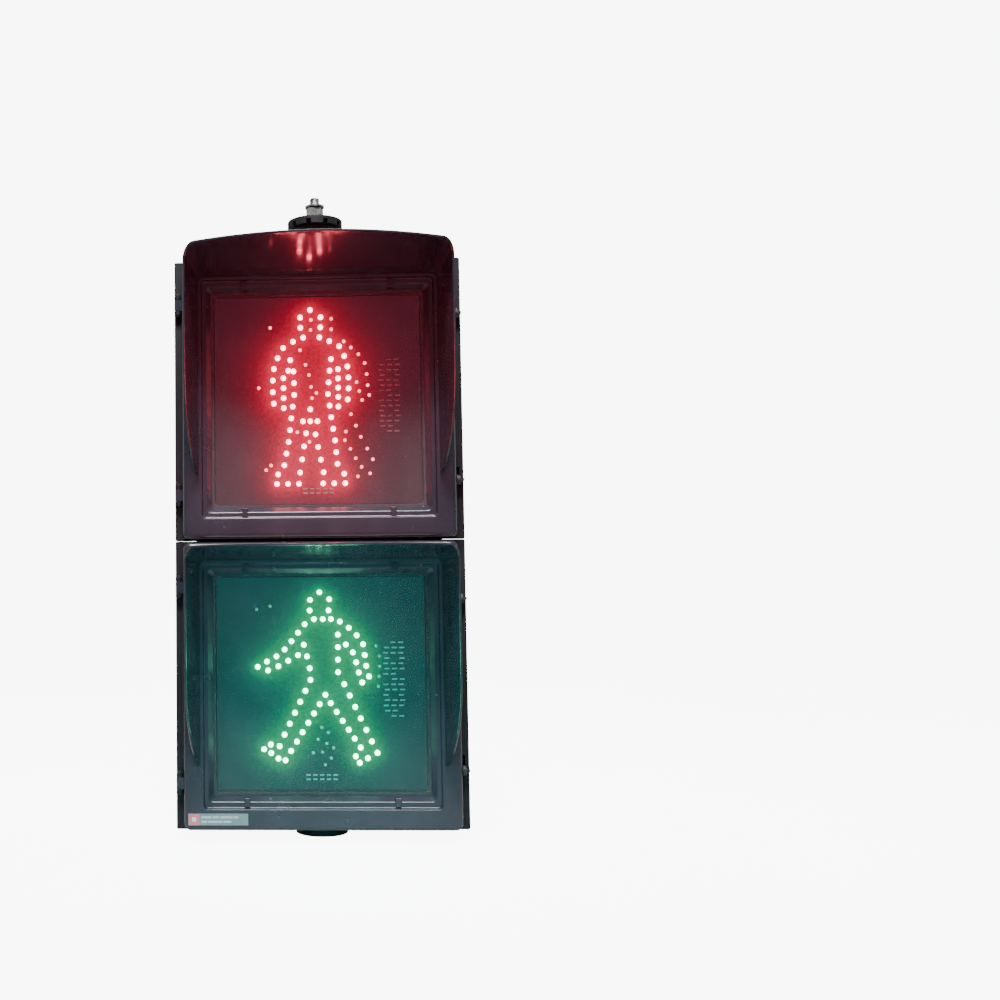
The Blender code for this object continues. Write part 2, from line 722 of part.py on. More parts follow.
def make_driver_board(section, front, finishes):
    """Power supply board with its transformer, choke, capacitor and connector as one body."""
    back = front + BOARD_THICKNESS
    board = plate(f"{section}_driver_board", DRIVER_HALF, 2 * MM, front, back, finishes["driver"])
    parts = (
        ("transformer", (-35, 8), (-12, 30), 9.5),
        ("choke", (2, 12), (20, 28), 7.5),
        ("capacitor", (-8, -28), (30, -14), 9),
        ("connector", (34, 4), (48, 30), 8),
    )
    for part_name, low, high, height in parts:
        bottom = (low[0] * MM, back - 0.5 * MM, low[1] * MM)
        top = (high[0] * MM, back + height * MM, high[1] * MM)
        add(board, block(f"{board.name}_{part_name}", bottom, top))
    return board


def make_module(section, rim_front, finishes):
    carrier_back = CARRIER_FRONT + CARRIER_THICKNESS
    board_front = carrier_back + GAP
    board_back = board_front + BOARD_THICKNESS
    carrier = plate(
        f"{section}_led_carrier", CARRIER_HALF, 5 * MM, CARRIER_FRONT, carrier_back, finishes["matt_black"]
    )
    tone = "board_red" if section == "upper" else "board_green"
    board = plate(
        f"{section}_led_board", grown(CARRIER_HALF, -1 * MM), 4 * MM, board_front, board_back, finishes[tone]
    )
    driver = make_driver_board(section, board_back + DRIVER_CLEARANCE, finishes)
    return [carrier, board, driver, make_tray(section, rim_front, finishes)]


def make_latch(section, place_name, height, finishes):
    """A quarter-turn latch: hub, thumb bar, axle and a tongue that points back through the flange."""
    name = f"{section}_latch_{place_name}"
    inner = LATCH_INNER_X
    hub_end = inner + LATCH_HUB_LENGTH
    hub = rod_along_x(name, LATCH_HUB_RADIUS, inner, hub_end, LATCH_Y, height, sides=20)
    hub.data.materials.append(finishes["matt_black"])
    tongue_low = (inner + 0.4 * MM, LATCH_Y, height - LATCH_TONGUE_HALF_WIDTH)
    tongue_high = (inner + 3.4 * MM, LATCH_Y + LATCH_TONGUE_REACH, height + LATCH_TONGUE_HALF_WIDTH)
    bar_low = (hub_end - 1 * MM, LATCH_Y - LATCH_BAR_REACH, height - LATCH_BAR_HALF_WIDTH)
    bar_high = (hub_end + 3.7 * MM, LATCH_Y + LATCH_BAR_REACH, height + LATCH_BAR_HALF_WIDTH)
    axle_start = DOOR_HALF[0] - 2 * DOOR_WALL
    add(hub, block(f"{name}_tongue", tongue_low, tongue_high))
    add(hub, block(f"{name}_bar", bar_low, bar_high))
    add(hub, rod_along_x(f"{name}_axle", LATCH_AXLE_RADIUS, axle_start, inner + 1 * MM, LATCH_Y, height))
    return hub


def make_label(finishes):
    """A plain plate near the lower door's bottom left corner."""
    width, thickness, height = LABEL_SIZE
    back = DOOR_FACE - GAP
    low = (LABEL_LEFT, back - thickness, LABEL_BOTTOM)
    high = (LABEL_LEFT + width, back, LABEL_BOTTOM + height)
    return block("lower_door_label", low, high, finishes["label"])


def make_door_assembly(section, centre, finishes):
    """Everything that swings with the door, under the hinge's empty, with the latches on their own."""
    hinge_offset = (HINGE_X, HINGE_Y, 0)
    hinge = joint_empty(f"{section}_door_hinge", (HINGE_X, HINGE_Y, centre))
    lens_parts, lens_back = make_lens_parts(section, finishes)
    pieces = [make_door_frame(section, finishes), make_visor(section, finishes)]
    pieces += lens_parts
    pieces += make_clips(section, finishes)
    pieces += make_module(section, lens_back + GAP, finishes)
    if section == "lower":
        pieces.append(make_label(finishes))
    place(pieces, hinge, hinge_offset)
    for place_name, height in LATCH_HEIGHTS.items():
        latch_offset = Vector((LATCH_INNER_X, LATCH_Y, height))
        turn = joint_empty(f"{section}_latch_{place_name}_turn", latch_offset - Vector(hinge_offset))
        turn.parent = hinge
        place([make_latch(section, place_name, height, finishes)], turn, latch_offset)


def make_neck_and_cap(finishes):
    """The neck on the upper housing, and the slotted cap that the tie rod clamps on it."""
    base = HOUSING_TOP - SHELL_INSET + GAP
    seal_inner, seal_outer, seal_thickness = NECK_SEAL
    seal_top = base + seal_thickness
    neck_base = seal_top + GAP
    washer("neck_seal", seal_inner, seal_outer, base, seal_top, finishes["rubber"])
    neck_profile = [
        (NECK_BORE, neck_base),
        (NECK_BASE_RADIUS, neck_base),
        (NECK_BASE_RADIUS, neck_base + 4 * MM),
        (NECK_SHOULDER_RADIUS, neck_base + 9 * MM),
        (NECK_THROAT_RADIUS, NECK_TOP - 10 * MM),
        (NECK_TOP_RADIUS, NECK_TOP - GAP),
        (NECK_BORE, NECK_TOP - GAP),
    ]
    turned("top_neck", neck_profile, True, finishes["gloss_black"])
    cap_profile = [
        (NECK_BORE, NECK_TOP),
        (CAP_RADIUS, NECK_TOP),
        (CAP_RADIUS, CAP_TOP - CAP_CHAMFER),
        (CAP_RADIUS - CAP_CHAMFER, CAP_TOP),
        (NECK_BORE, CAP_TOP),
    ]
    cap = turned("clamp_cap", cap_profile, True, finishes["gloss_black"])
    cut(cap, cap_slots())


def cap_slots():
    """Slots in the lower edge of the cap's rim, made as one helper of separate blocks."""
    depth, width, height = CAP_SLOT_SIZE
    half_width = width / 2
    low_z = NECK_TOP - 1 * MM
    high_z = NECK_TOP + height
    inner, outer = CAP_RADIUS - depth, CAP_RADIUS + 2 * MM
    points, faces = [], []
    for step in range(CAP_SLOTS):
        angle = CAP_SLOT_TURN + math.tau * (step + 0.5) / CAP_SLOTS - math.pi / 2
        spin = Matrix.Rotation(angle, 3, "Z")
        first = len(points)
        for z in (low_z, high_z):
            for x, y in ((inner, -half_width), (outer, -half_width), (outer, half_width), (inner, half_width)):
                points.append(spin @ Vector((x, y, z)))
        faces.append(tuple(first + corner for corner in (3, 2, 1, 0)))
        faces.append(tuple(first + corner for corner in (4, 5, 6, 7)))
        for corner in range(4):
            after = (corner + 1) % 4
            faces.append((first + corner, first + after, first + 4 + after, first + 4 + corner))
    return new_object("clamp_cap_slots", mesh_from("clamp_cap_slots", points, faces))


def make_tie_rod_stack(finishes):
    """The rod through both sections, and the washers and nuts at its ends."""
    zinc = finishes["zinc"]
    across, along = ROD_CHAMFER
    rod_profile = [(ROD_RADIUS - across, ROD_BOTTOM), (ROD_RADIUS, ROD_BOTTOM + along)]
    rod_profile += [(ROD_RADIUS, ROD_TOP - along), (ROD_RADIUS - across, ROD_TOP)]
    turned("tie_rod", rod_profile, False, zinc, sides=16)
    plain_top = rod_washer("top_plain_washer", PLAIN_WASHER, CAP_TOP + GAP, zinc)
    lock_top = rod_washer("top_lock_washer", LOCK_WASHER, plain_top + GAP, zinc)
    hex_nut("top_nut", lock_top + GAP, zinc)
    rod_washer("bracket_washer", BRACKET_WASHER, lock_top + GAP + NUT_HEIGHT + GAP, zinc)
    floor = BOSS_DROP + SHELL_INSET + WALL + GAP
    bottom_top = rod_washer("bottom_washer", BOTTOM_WASHER, floor, zinc)
    hex_nut("bottom_nut", bottom_top + GAP, zinc)


def make_bottom_boss(finishes):
    """Round boss under the lower housing, with a blind pocket for the rod and four screw holes."""
    top = BOSS_DROP + SHELL_INSET - GAP
    seal_inner, seal_outer, seal_thickness = BOSS_SEAL
    seal_bottom = top - seal_thickness
    boss_top = seal_bottom - GAP
    washer("boss_seal", seal_inner, seal_outer, seal_bottom, top, finishes["rubber"])
    pocket_radius, pocket_floor = BOSS_POCKET
    profile = [
        (BOSS_RADIUS - BOSS_CHAMFER, 0),
        (BOSS_RADIUS, BOSS_CHAMFER),
        (BOSS_RADIUS, boss_top),
        (pocket_radius, boss_top),
        (pocket_radius, pocket_floor),
    ]
    boss = turned("bottom_boss", profile, False, finishes["gloss_black"])
    hole_radius, hole_depth = BOSS_HOLE
    for step in range(4):
        angle = math.radians(45 + 90 * step)
        centre = (BOSS_HOLE_CIRCLE * math.cos(angle), BOSS_HOLE_CIRCLE * math.sin(angle), 0)
        hole_profile = [(hole_radius, -1 * MM), (hole_radius, hole_depth)]
        cut(boss, turned(f"bottom_boss_hole_{step}", hole_profile, False, centre=centre, sides=12))


def make_section_coupling(finishes):
    """Hollow bush and ring nut that hold the two housings together and let the wiring through."""
    seam = BOSS_DROP + SECTION_PITCH
    wall_below = seam - SHELL_INSET - WALL - GAP
    wall_above = seam + SHELL_INSET + WALL + GAP
    flange_radius, flange_thickness = BUSH_FLANGE
    bush_profile = [
        (BUSH_BORE, wall_below - flange_thickness),
        (flange_radius, wall_below - flange_thickness),
        (flange_radius, wall_below),
        (BUSH_RADIUS, wall_below),
        (BUSH_RADIUS, wall_above + BUSH_REACH),
        (BUSH_BORE, wall_above + BUSH_REACH),
    ]
    turned("coupling_bush", bush_profile, True, finishes["matt_black"])
    seal_reach = SHELL_INSET - GAP
    washer("section_seal", *SECTION_SEAL, seam - seal_reach, seam + seal_reach, finishes["rubber"])
    nut_inner, nut_outer, nut_height = RING_NUT
    nut_top = wall_above + nut_height
    washer("coupling_ring_nut", nut_inner, nut_outer, wall_above, nut_top, finishes["matt_black"])


def make_terminal_block(section, centre, finishes):
    """Terminal block on the rear wall, with a row of slots for its clamps."""
    width, depth, height = TERMINAL_SIZE
    back = HOUSING_BACK - WALL - GAP
    front = back - depth
    middle = centre - TERMINAL_DROPS[section]
    low = (TERMINAL_X - width / 2, front, middle - height / 2)
    high = (TERMINAL_X + width / 2, back, middle + height / 2)
    terminals = block(f"{section}_terminal_block", low, high, finishes["terminal"])
    slot_width, slot_depth, slot_height = TERMINAL_SLOT_SIZE
    for count in range(TERMINAL_SLOTS):
        x = TERMINAL_X + (count - (TERMINAL_SLOTS - 1) / 2) * TERMINAL_PITCH
        slot_low = (x - slot_width / 2, front - 1 * MM, middle - slot_height / 2)
        slot_high = (x + slot_width / 2, front + slot_depth, middle + slot_height / 2)
        cut(terminals, block(f"{section}_terminal_slot_{count}", slot_low, slot_high))
    return middle


def smooth_points(controls, per_span):
    """Points on a Catmull-Rom curve through the controls."""
    guides = [Vector(point) for point in controls]
    guides = [2 * guides[0] - guides[1]] + guides + [2 * guides[-1] - guides[-2]]
    points = []
    for before, start, end, after in zip(guides, guides[1:], guides[2:], guides[3:]):
        for step in range(per_span):
            t = step / per_span
            cubic = 3 * start - before - 3 * end + after
            square = 2 * before - 5 * start + 4 * end - after
            points.append((2 * start + (end - before) * t + square * t**2 + cubic * t**3) / 2)
    return points + [guides[-2]]


def make_loom(lower_middle, upper_middle, finishes):
    """Wiring from the lower terminal block up through the coupling bush to the upper one."""
    y = HOUSING_BACK - WALL - GAP - TERMINAL_SIZE[1] / 2
    half_height = TERMINAL_SIZE[2] / 2
    seam = BOSS_DROP + SECTION_PITCH
    start = lower_middle + half_height + LOOM_END_GAP
    end = upper_middle - half_height - LOOM_END_GAP
    controls = [
        (TERMINAL_X, y, start),
        (TERMINAL_X, y, start + 15 * MM),
        (62 * MM, 42 * MM, start + 80 * MM),
        (26 * MM, 14 * MM, seam - 40 * MM),
        (13 * MM, 2 * MM, seam - 8 * MM),
        (13 * MM, 2 * MM, seam + 14 * MM),
        (26 * MM, 14 * MM, seam + 42 * MM),
        (62 * MM, 42 * MM, end - 30 * MM),
        (TERMINAL_X, y, end - 10 * MM),
        (TERMINAL_X, y, end),
    ]
    points = smooth_points(controls, 4)
    curve = bpy.data.curves.new("wiring_loom", "CURVE")
    curve.dimensions = "3D"
    spline = curve.splines.new("POLY")
    spline.points.add(len(points) - 1)
    for spline_point, point in zip(spline.points, points):
        spline_point.co = (*point, 1)
    curve.bevel_depth = LOOM_RADIUS
    curve.bevel_resolution = 2
    curve.use_fill_caps = True
    new_object("wiring_loom", curve, finishes["loom"])


def make_grommet(finishes):
    """Cable entry in the lower housing's floor."""
    outside = BOSS_DROP + SHELL_INSET - GAP
    inside = BOSS_DROP + SHELL_INSET + WALL + GAP
    flange_radius, flange_thickness = GROMMET_FLANGE
    tip_radius, tip_height = GROMMET_TIP
    profile = [
        (GROMMET_BORE, outside - flange_thickness),
        (flange_radius, outside - flange_thickness),
        (flange_radius, outside),
        (GROMMET_NECK, outside),
        (GROMMET_NECK, inside),
        (flange_radius, inside),
        (tip_radius, inside + tip_height),
        (GROMMET_BORE, inside + tip_height),
    ]
    turned("cable_grommet", profile, True, finishes["rubber"], centre=(GROMMET_X, GROMMET_Y, 0))


def build():
    clear_scene()
    finishes = make_finishes()
    terminal_middles = {}
    for section, centre in SECTION_CENTRES.items():
        fixed = [make_housing(section, finishes), make_door_seal(section, finishes)]
        fixed += make_hinge_pins(section, finishes)
        raise_to(fixed, centre)
        make_door_assembly(section, centre, finishes)
        terminal_middles[section] = make_terminal_block(section, centre, finishes)
    make_neck_and_cap(finishes)
    make_tie_rod_stack(finishes)
    make_bottom_boss(finishes)
    make_section_coupling(finishes)
    make_loom(terminal_middles["lower"], terminal_middles["upper"], finishes)
    make_grommet(finishes)


build()
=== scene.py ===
"""Looks of the two-section pedestrian signal head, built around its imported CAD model.

Everything is in metres in the model's frame: front is -Y, right is +X, up is +Z, and z = 0 is the flat
face of the bottom mounting boss.
"""

import math

import bmesh
import bpy
import numpy as np
from mathutils import Matrix, Vector


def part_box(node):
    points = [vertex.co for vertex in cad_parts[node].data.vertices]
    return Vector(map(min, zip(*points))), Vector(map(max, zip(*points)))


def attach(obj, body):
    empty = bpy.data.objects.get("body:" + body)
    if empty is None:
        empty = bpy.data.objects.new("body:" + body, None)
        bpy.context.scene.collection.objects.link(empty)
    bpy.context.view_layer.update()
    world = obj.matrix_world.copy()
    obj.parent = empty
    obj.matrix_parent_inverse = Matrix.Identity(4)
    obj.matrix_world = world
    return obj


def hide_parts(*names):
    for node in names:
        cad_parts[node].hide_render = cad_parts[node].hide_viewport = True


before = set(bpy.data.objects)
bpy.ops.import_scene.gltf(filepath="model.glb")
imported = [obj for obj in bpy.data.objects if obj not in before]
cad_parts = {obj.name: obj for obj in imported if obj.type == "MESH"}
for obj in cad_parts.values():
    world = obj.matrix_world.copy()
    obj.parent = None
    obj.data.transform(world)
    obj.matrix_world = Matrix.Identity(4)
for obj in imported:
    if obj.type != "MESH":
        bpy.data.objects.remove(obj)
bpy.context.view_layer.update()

MM = 0.001
GAP = 0.3 * MM
SECTIONS = ("upper", "lower")
TONES = {"upper": "red", "lower": "green"}
CORNER_STEPS = 10
ROUND_SIDES = 96
SOFT_STEPS = 4


def middle_height(node):
    low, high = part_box(node)
    return (low.z + high.z) / 2


CENTRES = {section: middle_height(f"{section}_housing") for section in SECTIONS}

# Door frame, from its node: right side, top, face and the back of its collar
DOOR_LOW, DOOR_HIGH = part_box("upper_door_frame")
DOOR_HALF = (DOOR_HIGH.x, DOOR_HIGH.z - CENTRES["upper"])
DOOR_FACE = DOOR_LOW.y
DOOR_RADIUS = 8 * MM
DOOR_WALL = 3 * MM
EDGE_ROUNDING = 7 * MM
WINDOW_HALF = (139 * MM, 143.5 * MM)
SHELF_Y = DOOR_FACE + 7.5 * MM
LIP_HALF = (128 * MM, 130.5 * MM)
LIP_SLOPE = 5 * MM
LIP_DEPTH = 6.5 * MM
COLLAR_HALF = (138 * MM, 140.5 * MM)
COLLAR_END = DOOR_HIGH.y

# Housing, from its node
HOUSING_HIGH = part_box("upper_housing")[1]
FLANGE_HALF = (HOUSING_HIGH.x, HOUSING_HIGH.z - CENTRES["upper"])
HOUSING_BACK = HOUSING_HIGH.y
FLANGE_FRONT = -46 * MM
FLANGE_BACK = -42 * MM
DOOR_BACK = FLANGE_FRONT - GAP
SHELL_HALF = (158 * MM, FLANGE_HALF[1] - 0.85 * MM)
MOUTH_HALF = (155 * MM, 160 * MM)
HOUSING_WALL = 3.1 * MM
GROOVE_HALF = (158 * MM, 162.2 * MM)
GROOVE_WIDTH = 4.3 * MM
GROOVE_DEPTH = 2.3 * MM

# Visor
VISOR_BASE = (145.5 * MM, 149.5 * MM, 10 * MM)
VISOR_FRONT = (153.5 * MM, 163 * MM, 16 * MM)
VISOR_WALL = 3 * MM
VISOR_SIDE_DEPTH = 85 * MM
VISOR_CORNER_DEPTH = 96 * MM
VISOR_CENTRE_DEPTH = DOOR_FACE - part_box("upper_visor")[0].y
VISOR_SIDE_BOTTOM = -92 * MM
VISOR_SIDE_STRAIGHT_TO = 43 * MM
VISOR_SIDE_FADE = 140 * MM

# Lens and LED module
LENS_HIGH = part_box("upper_lens")[1]
LENS_HALF = (LENS_HIGH.x, LENS_HIGH.z - CENTRES["upper"])
CARRIER_LOW, CARRIER_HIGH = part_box("upper_led_carrier")
CARRIER_HALF = (CARRIER_HIGH.x, CARRIER_HIGH.z - CENTRES["upper"])
CARRIER_FRONT = CARRIER_LOW.y
TRAY_HALF = (128 * MM, 130 * MM)
TRAY_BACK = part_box("upper_module_tray")[1].y
TRAY_WALL = 2.5 * MM
CLIP_X = 88 * MM
CLIP_WIDTH = 7 * MM
LED_RADIUS = 3.1 * MM
LED_HEIGHT = 5.6 * MM
LED_PITCH = 13.8 * MM

# Hinges and latches
HINGE_X = -168 * MM
HINGE_Y = -52 * MM
HINGE_HEIGHTS = (115 * MM, -115 * MM)
KNUCKLE_RADIUS = 4 * MM
KNUCKLE_HALF_LENGTH = 7 * MM
KNUCKLE_EDGE = 0.5 * MM
EYE_LENGTH = 5 * MM
LATCH_Y = -54.5 * MM
LATCH_HEIGHTS = {"top": 100 * MM, "bottom": -100 * MM}
LATCH_INNER_X = DOOR_HALF[0] + GAP
LATCH_HUB_RADIUS = 6 * MM

# Tie rod, neck, cap and boss
ROD_RADIUS = 6 * MM
THREAD_PITCH = 1.75 * MM
THREAD_DEPTH = 0.75 * MM
NECK_SEAL_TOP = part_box("neck_seal")[1].z
CAP_LOW, CAP_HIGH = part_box("clamp_cap")
CAP_RADIUS = 34 * MM
CAP_SLOTS = 10
CAP_TURN = math.radians(4)
NUT_ACROSS_FLATS = 19 * MM
NUT_BORE = 6.5 * MM
BOSS_RADIUS = 31.5 * MM

# Brightness of the floor and the background, as the camera sees them
BACKDROP_STRENGTH = 9.0

# Light spilled on the boards, painted as emission, from far from the figure to right beside an LED; even the
# far end paints a faint glow over the whole board
RED_GLOW = (
    (0.0, (0.014, 0.003, 0.006)),
    (0.25, (0.15, 0.0015, 0.008)),
    (0.6, (0.42, 0.003, 0.018)),
    (1.0, (0.62, 0.006, 0.04)),
)
GREEN_GLOW = (
    (0.0, (0.0, 0.017, 0.017)),
    (0.25, (0.0, 0.055, 0.034)),
    (0.6, (0.0, 0.15, 0.045)),
    (1.0, (0.0, 0.26, 0.06)),
)

# Plastics: darkest and lightest colour, range of roughness, grain, height of grain and of ripples, shine
PLASTICS = {
    "housing_plastic": ((0.006, 0.006, 0.008), (0.011, 0.011, 0.014), (0.5, 0.62), 900, 0.004 * MM, 0, 0.22),
    "door_plastic": ((0.016, 0.017, 0.026), (0.023, 0.024, 0.035), (0.2, 0.28), 900, 0.001 * MM),
    "visor_plastic": ((0.014, 0.015, 0.023), (0.021, 0.022, 0.032), (0.11, 0.17), 900, 0.001 * MM, 0.05 * MM),
    "matt_plastic": ((0.008, 0.008, 0.009), (0.016, 0.016, 0.018), (0.5, 0.65), 700, 0.02 * MM),
    "rubber": ((0.010, 0.010, 0.010), (0.018, 0.018, 0.018), (0.7, 0.9), 500, 0.03 * MM),
    "terminal_plastic": ((0.50, 0.50, 0.46), (0.60, 0.60, 0.56), (0.4, 0.55)),
    "cable_sheath": ((0.022, 0.022, 0.023), (0.035, 0.035, 0.037), (0.45, 0.6), 400),
    # The red and green marks are the same pale parts; their tints are painted light from each section's LEDs
    "red_marks": ((0.17, 0.11, 0.12), (0.23, 0.15, 0.16), (0.4, 0.5)),
    "green_marks": ((0.06, 0.36, 0.28), (0.09, 0.44, 0.34), (0.4, 0.5)),
    "label_face": ((0.13, 0.14, 0.16), (0.17, 0.18, 0.20), (0.3, 0.45)),
    "label_grey": ((0.34, 0.34, 0.36), (0.42, 0.42, 0.44), (0.3, 0.45)),
    "label_red": ((0.50, 0.09, 0.12), (0.60, 0.14, 0.17), (0.3, 0.45)),
    "label_pale": ((0.56, 0.44, 0.46), (0.64, 0.52, 0.54), (0.3, 0.45)),
}


# ---------------------------------------------------------------- mesh tools


def shade(mesh):
    mesh.shade_smooth()
    mesh.set_sharp_from_angle(angle=math.radians(35))


def finished(name, built):
    """The mesh of a bmesh, with its faces turned outward and smooth except at real edges."""
    bmesh.ops.recalc_face_normals(built, faces=built.faces)
    mesh = bpy.data.meshes.new(name)
    built.to_mesh(mesh)
    built.free()
    shade(mesh)
    return mesh


def angles(sides, offset=0.0):
    return [math.tau * (step + offset) / sides for step in range(sides)]


def circle(sides, offset=0.5):
    """Cosine and sine of evenly spaced angles."""
    return [(math.cos(angle), math.sin(angle)) for angle in angles(sides, offset)]


def skinned(name, rings, loop=False):
    """Joins rings of points one after the other. A loop closes on itself, otherwise both ends are capped."""
    built = bmesh.new()
    corners = [[built.verts.new(point) for point in ring] for ring in rings]
    span(built, corners)
    if loop:
        span(built, [corners[-1], corners[0]])
    else:
        built.faces.new(corners[0])
        built.faces.new(corners[-1])
    return finished(name, built)


def span(built, rings):
    """Faces between each ring and the next."""
    for near, far in zip(rings, rings[1:]):
        for step in range(len(near)):
            after = (step + 1) % len(near)
            built.faces.new((near[step], near[after], far[after], far[step]))


def rounded_rectangle(half_x, half_z, radius, y, centre_z):
    points = []
    for turn, (side_x, side_z) in enumerate(((1, 1), (-1, 1), (-1, -1), (1, -1))):
        for step in range(CORNER_STEPS + 1):
            angle = math.radians(90) * (turn + step / CORNER_STEPS)
            x = side_x * (half_x - radius) + radius * math.cos(angle)
            z = side_z * (half_z - radius) + radius * math.sin(angle)
            points.append((x, y, centre_z + z))
    return points


def bend(before, corner, after, reach):
    """Points that round one corner of a profile, starting and ending at reach from it."""
    start = corner + (before - corner) * reach / flat_length(before, corner)
    end = corner + (after - corner) * reach / flat_length(after, corner)
    points = []
    for step in range(SOFT_STEPS + 1):
        t = step / SOFT_STEPS
        points.append(start * (1 - t) ** 2 + corner * 2 * t * (1 - t) + end * t**2)
    return points


def flat_length(one, other):
    """Length in the plane of the profile, whose first value runs outward and last one along the axis."""
    return math.hypot(one[0] - other[0], one[-1] - other[-1])


def softened(corners, loop):
    """Rounds the corners of a profile. The last value of each corner is how far its rounding reaches."""
    profile = []
    for index, corner in enumerate(corners):
        reach = corner[-1]
        place = Vector(corner[:-1])
        open_end = not loop and index in (0, len(corners) - 1)
        if reach == 0 or open_end:
            profile.append(place)
            continue
        before = Vector(corners[index - 1][:-1])
        after = Vector(corners[(index + 1) % len(corners)][:-1])
        profile += bend(before, place, after, reach)
    return profile


def framed(name, corners, loop, centre_z):
    """Rounded rectangles skinned together: each corner is (half width, half height, radius, y, rounding)."""
    rings = [rounded_rectangle(*section, centre_z) for section in softened(corners, loop)]
    return skinned(name, rings, loop)


def plate_mesh(name, half, radius, front, back, edge, centre_z):
    corners = [
        (half[0] - edge, half[1] - edge, radius, front, 0),
        (half[0], half[1], radius, front + edge, 0),
        (half[0], half[1], radius, back - edge, 0),
        (half[0] - edge, half[1] - edge, radius, back, 0),
    ]
    return framed(name, corners, False, centre_z)


def turned(name, corners, loop, centre=(0, 0, 0), sides=ROUND_SIDES):
    """Turns a profile of (radius, height, rounding) about a vertical axis."""
    x, y, z = centre
    rings = []
    for radius, height in softened(corners, loop):
        rings.append([(x + radius * a, y + radius * b, z + height) for a, b in circle(sides)])
    return skinned(name, rings, loop)


def turned_along_x(name, corners, loop, y, z, sides=40):
    """Turns a profile of (radius, x, rounding) about an axis along X."""
    rings = []
    for radius, x in softened(corners, loop):
        rings.append([(x, y + radius * a, z + radius * b) for a, b in circle(sides)])
    return skinned(name, rings, loop)


def block(name, low, high):
    x, y, z = zip(low, high)
    return skinned(name, [[(x[a], y[b], level) for a, b in ((0, 0), (1, 0), (1, 1), (0, 1))] for level in z])


def block_about(name, x, z, half_x, half_z, front, back):
    return block(name, (x - half_x, front, z - half_z), (x + half_x, back, z + half_z))


def washer_mesh(inner, outer, bottom, top, edge=0.3 * MM):
    corners = [(outer, bottom, edge), (outer, top, edge), (inner, top, edge), (inner, bottom, edge)]
    return turned("washer", corners, True)


def joined(name, meshes):
    """One mesh of separate shells. A face keeps the number of its mesh in the list as its material index."""
    built = bmesh.new()
    for index, mesh in enumerate(meshes):
        first = len(built.faces)
        built.from_mesh(mesh)
        built.faces.ensure_lookup_table()
        for face in built.faces[first:]:
            face.material_index = index
        bpy.data.meshes.remove(mesh)
    whole = bpy.data.meshes.new(name)
    built.to_mesh(whole)
    built.free()
    return whole


def one_material(mesh):
    for face in mesh.polygons:
        face.material_index = 0
    return mesh


def carved(mesh, tools, operation="DIFFERENCE"):
    """The mesh after a Boolean with each tool mesh in turn."""
    obj = bpy.data.objects.new(mesh.name, mesh)
    bpy.context.scene.collection.objects.link(obj)
    helpers = []
    for tool in tools:
        helper = bpy.data.objects.new(tool.name, tool)
        bpy.context.scene.collection.objects.link(helper)
        modifier = obj.modifiers.new(tool.name, "BOOLEAN")
        modifier.operation = operation
        modifier.solver = "EXACT"
        modifier.object = helper
        helpers.append(helper)
    graph = bpy.context.evaluated_depsgraph_get()
    result = bpy.data.meshes.new_from_object(obj.evaluated_get(graph))
    for helper in helpers + [obj]:
        used = helper.data
        bpy.data.objects.remove(helper)
        bpy.data.meshes.remove(used)
    shade(result)
    return result


def piece(name, mesh, looks, body, slot, *nodes):
    """One visible piece on its CAD body, in place of the CAD nodes that it stands for."""
    mesh.name = name
    for look in looks:
        mesh.materials.append(LOOKS[look])
    obj = bpy.data.objects.new(name, mesh)
    bpy.context.scene.collection.objects.link(obj)
    normals = obj.modifiers.new("even_normals", "WEIGHTED_NORMAL")
    normals.keep_sharp = True
    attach(obj, body)
    if nodes:
        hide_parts(*nodes)
    return obj


def fixed_piece(name, mesh, look, *nodes):
    """A piece on the fixed housings. Its material is named after its slot."""
    return piece(name, mesh, [look], "root", look, *nodes)


def door_piece(section, name, mesh, look, slot, *nodes):
    """A piece that turns with its section's door. Its name and its nodes' names start with the section."""
    whole = [f"{section}_{node}" for node in nodes]
    return piece(f"{section}_{name}", mesh, [look], f"{section}_door", slot, *whole)


def bevelled(obj, width, segments=2):
    """Rounds a piece's edges, before its normals are evened."""
    bevel = obj.modifiers.new("soft_edges", "BEVEL")
    bevel.width = width
    bevel.segments = segments
    bevel.limit_method = "ANGLE"
    bevel.angle_limit = math.radians(40)
    obj.modifiers.move(len(obj.modifiers) - 1, 0)
    return obj


# ---------------------------------------------------------------- materials


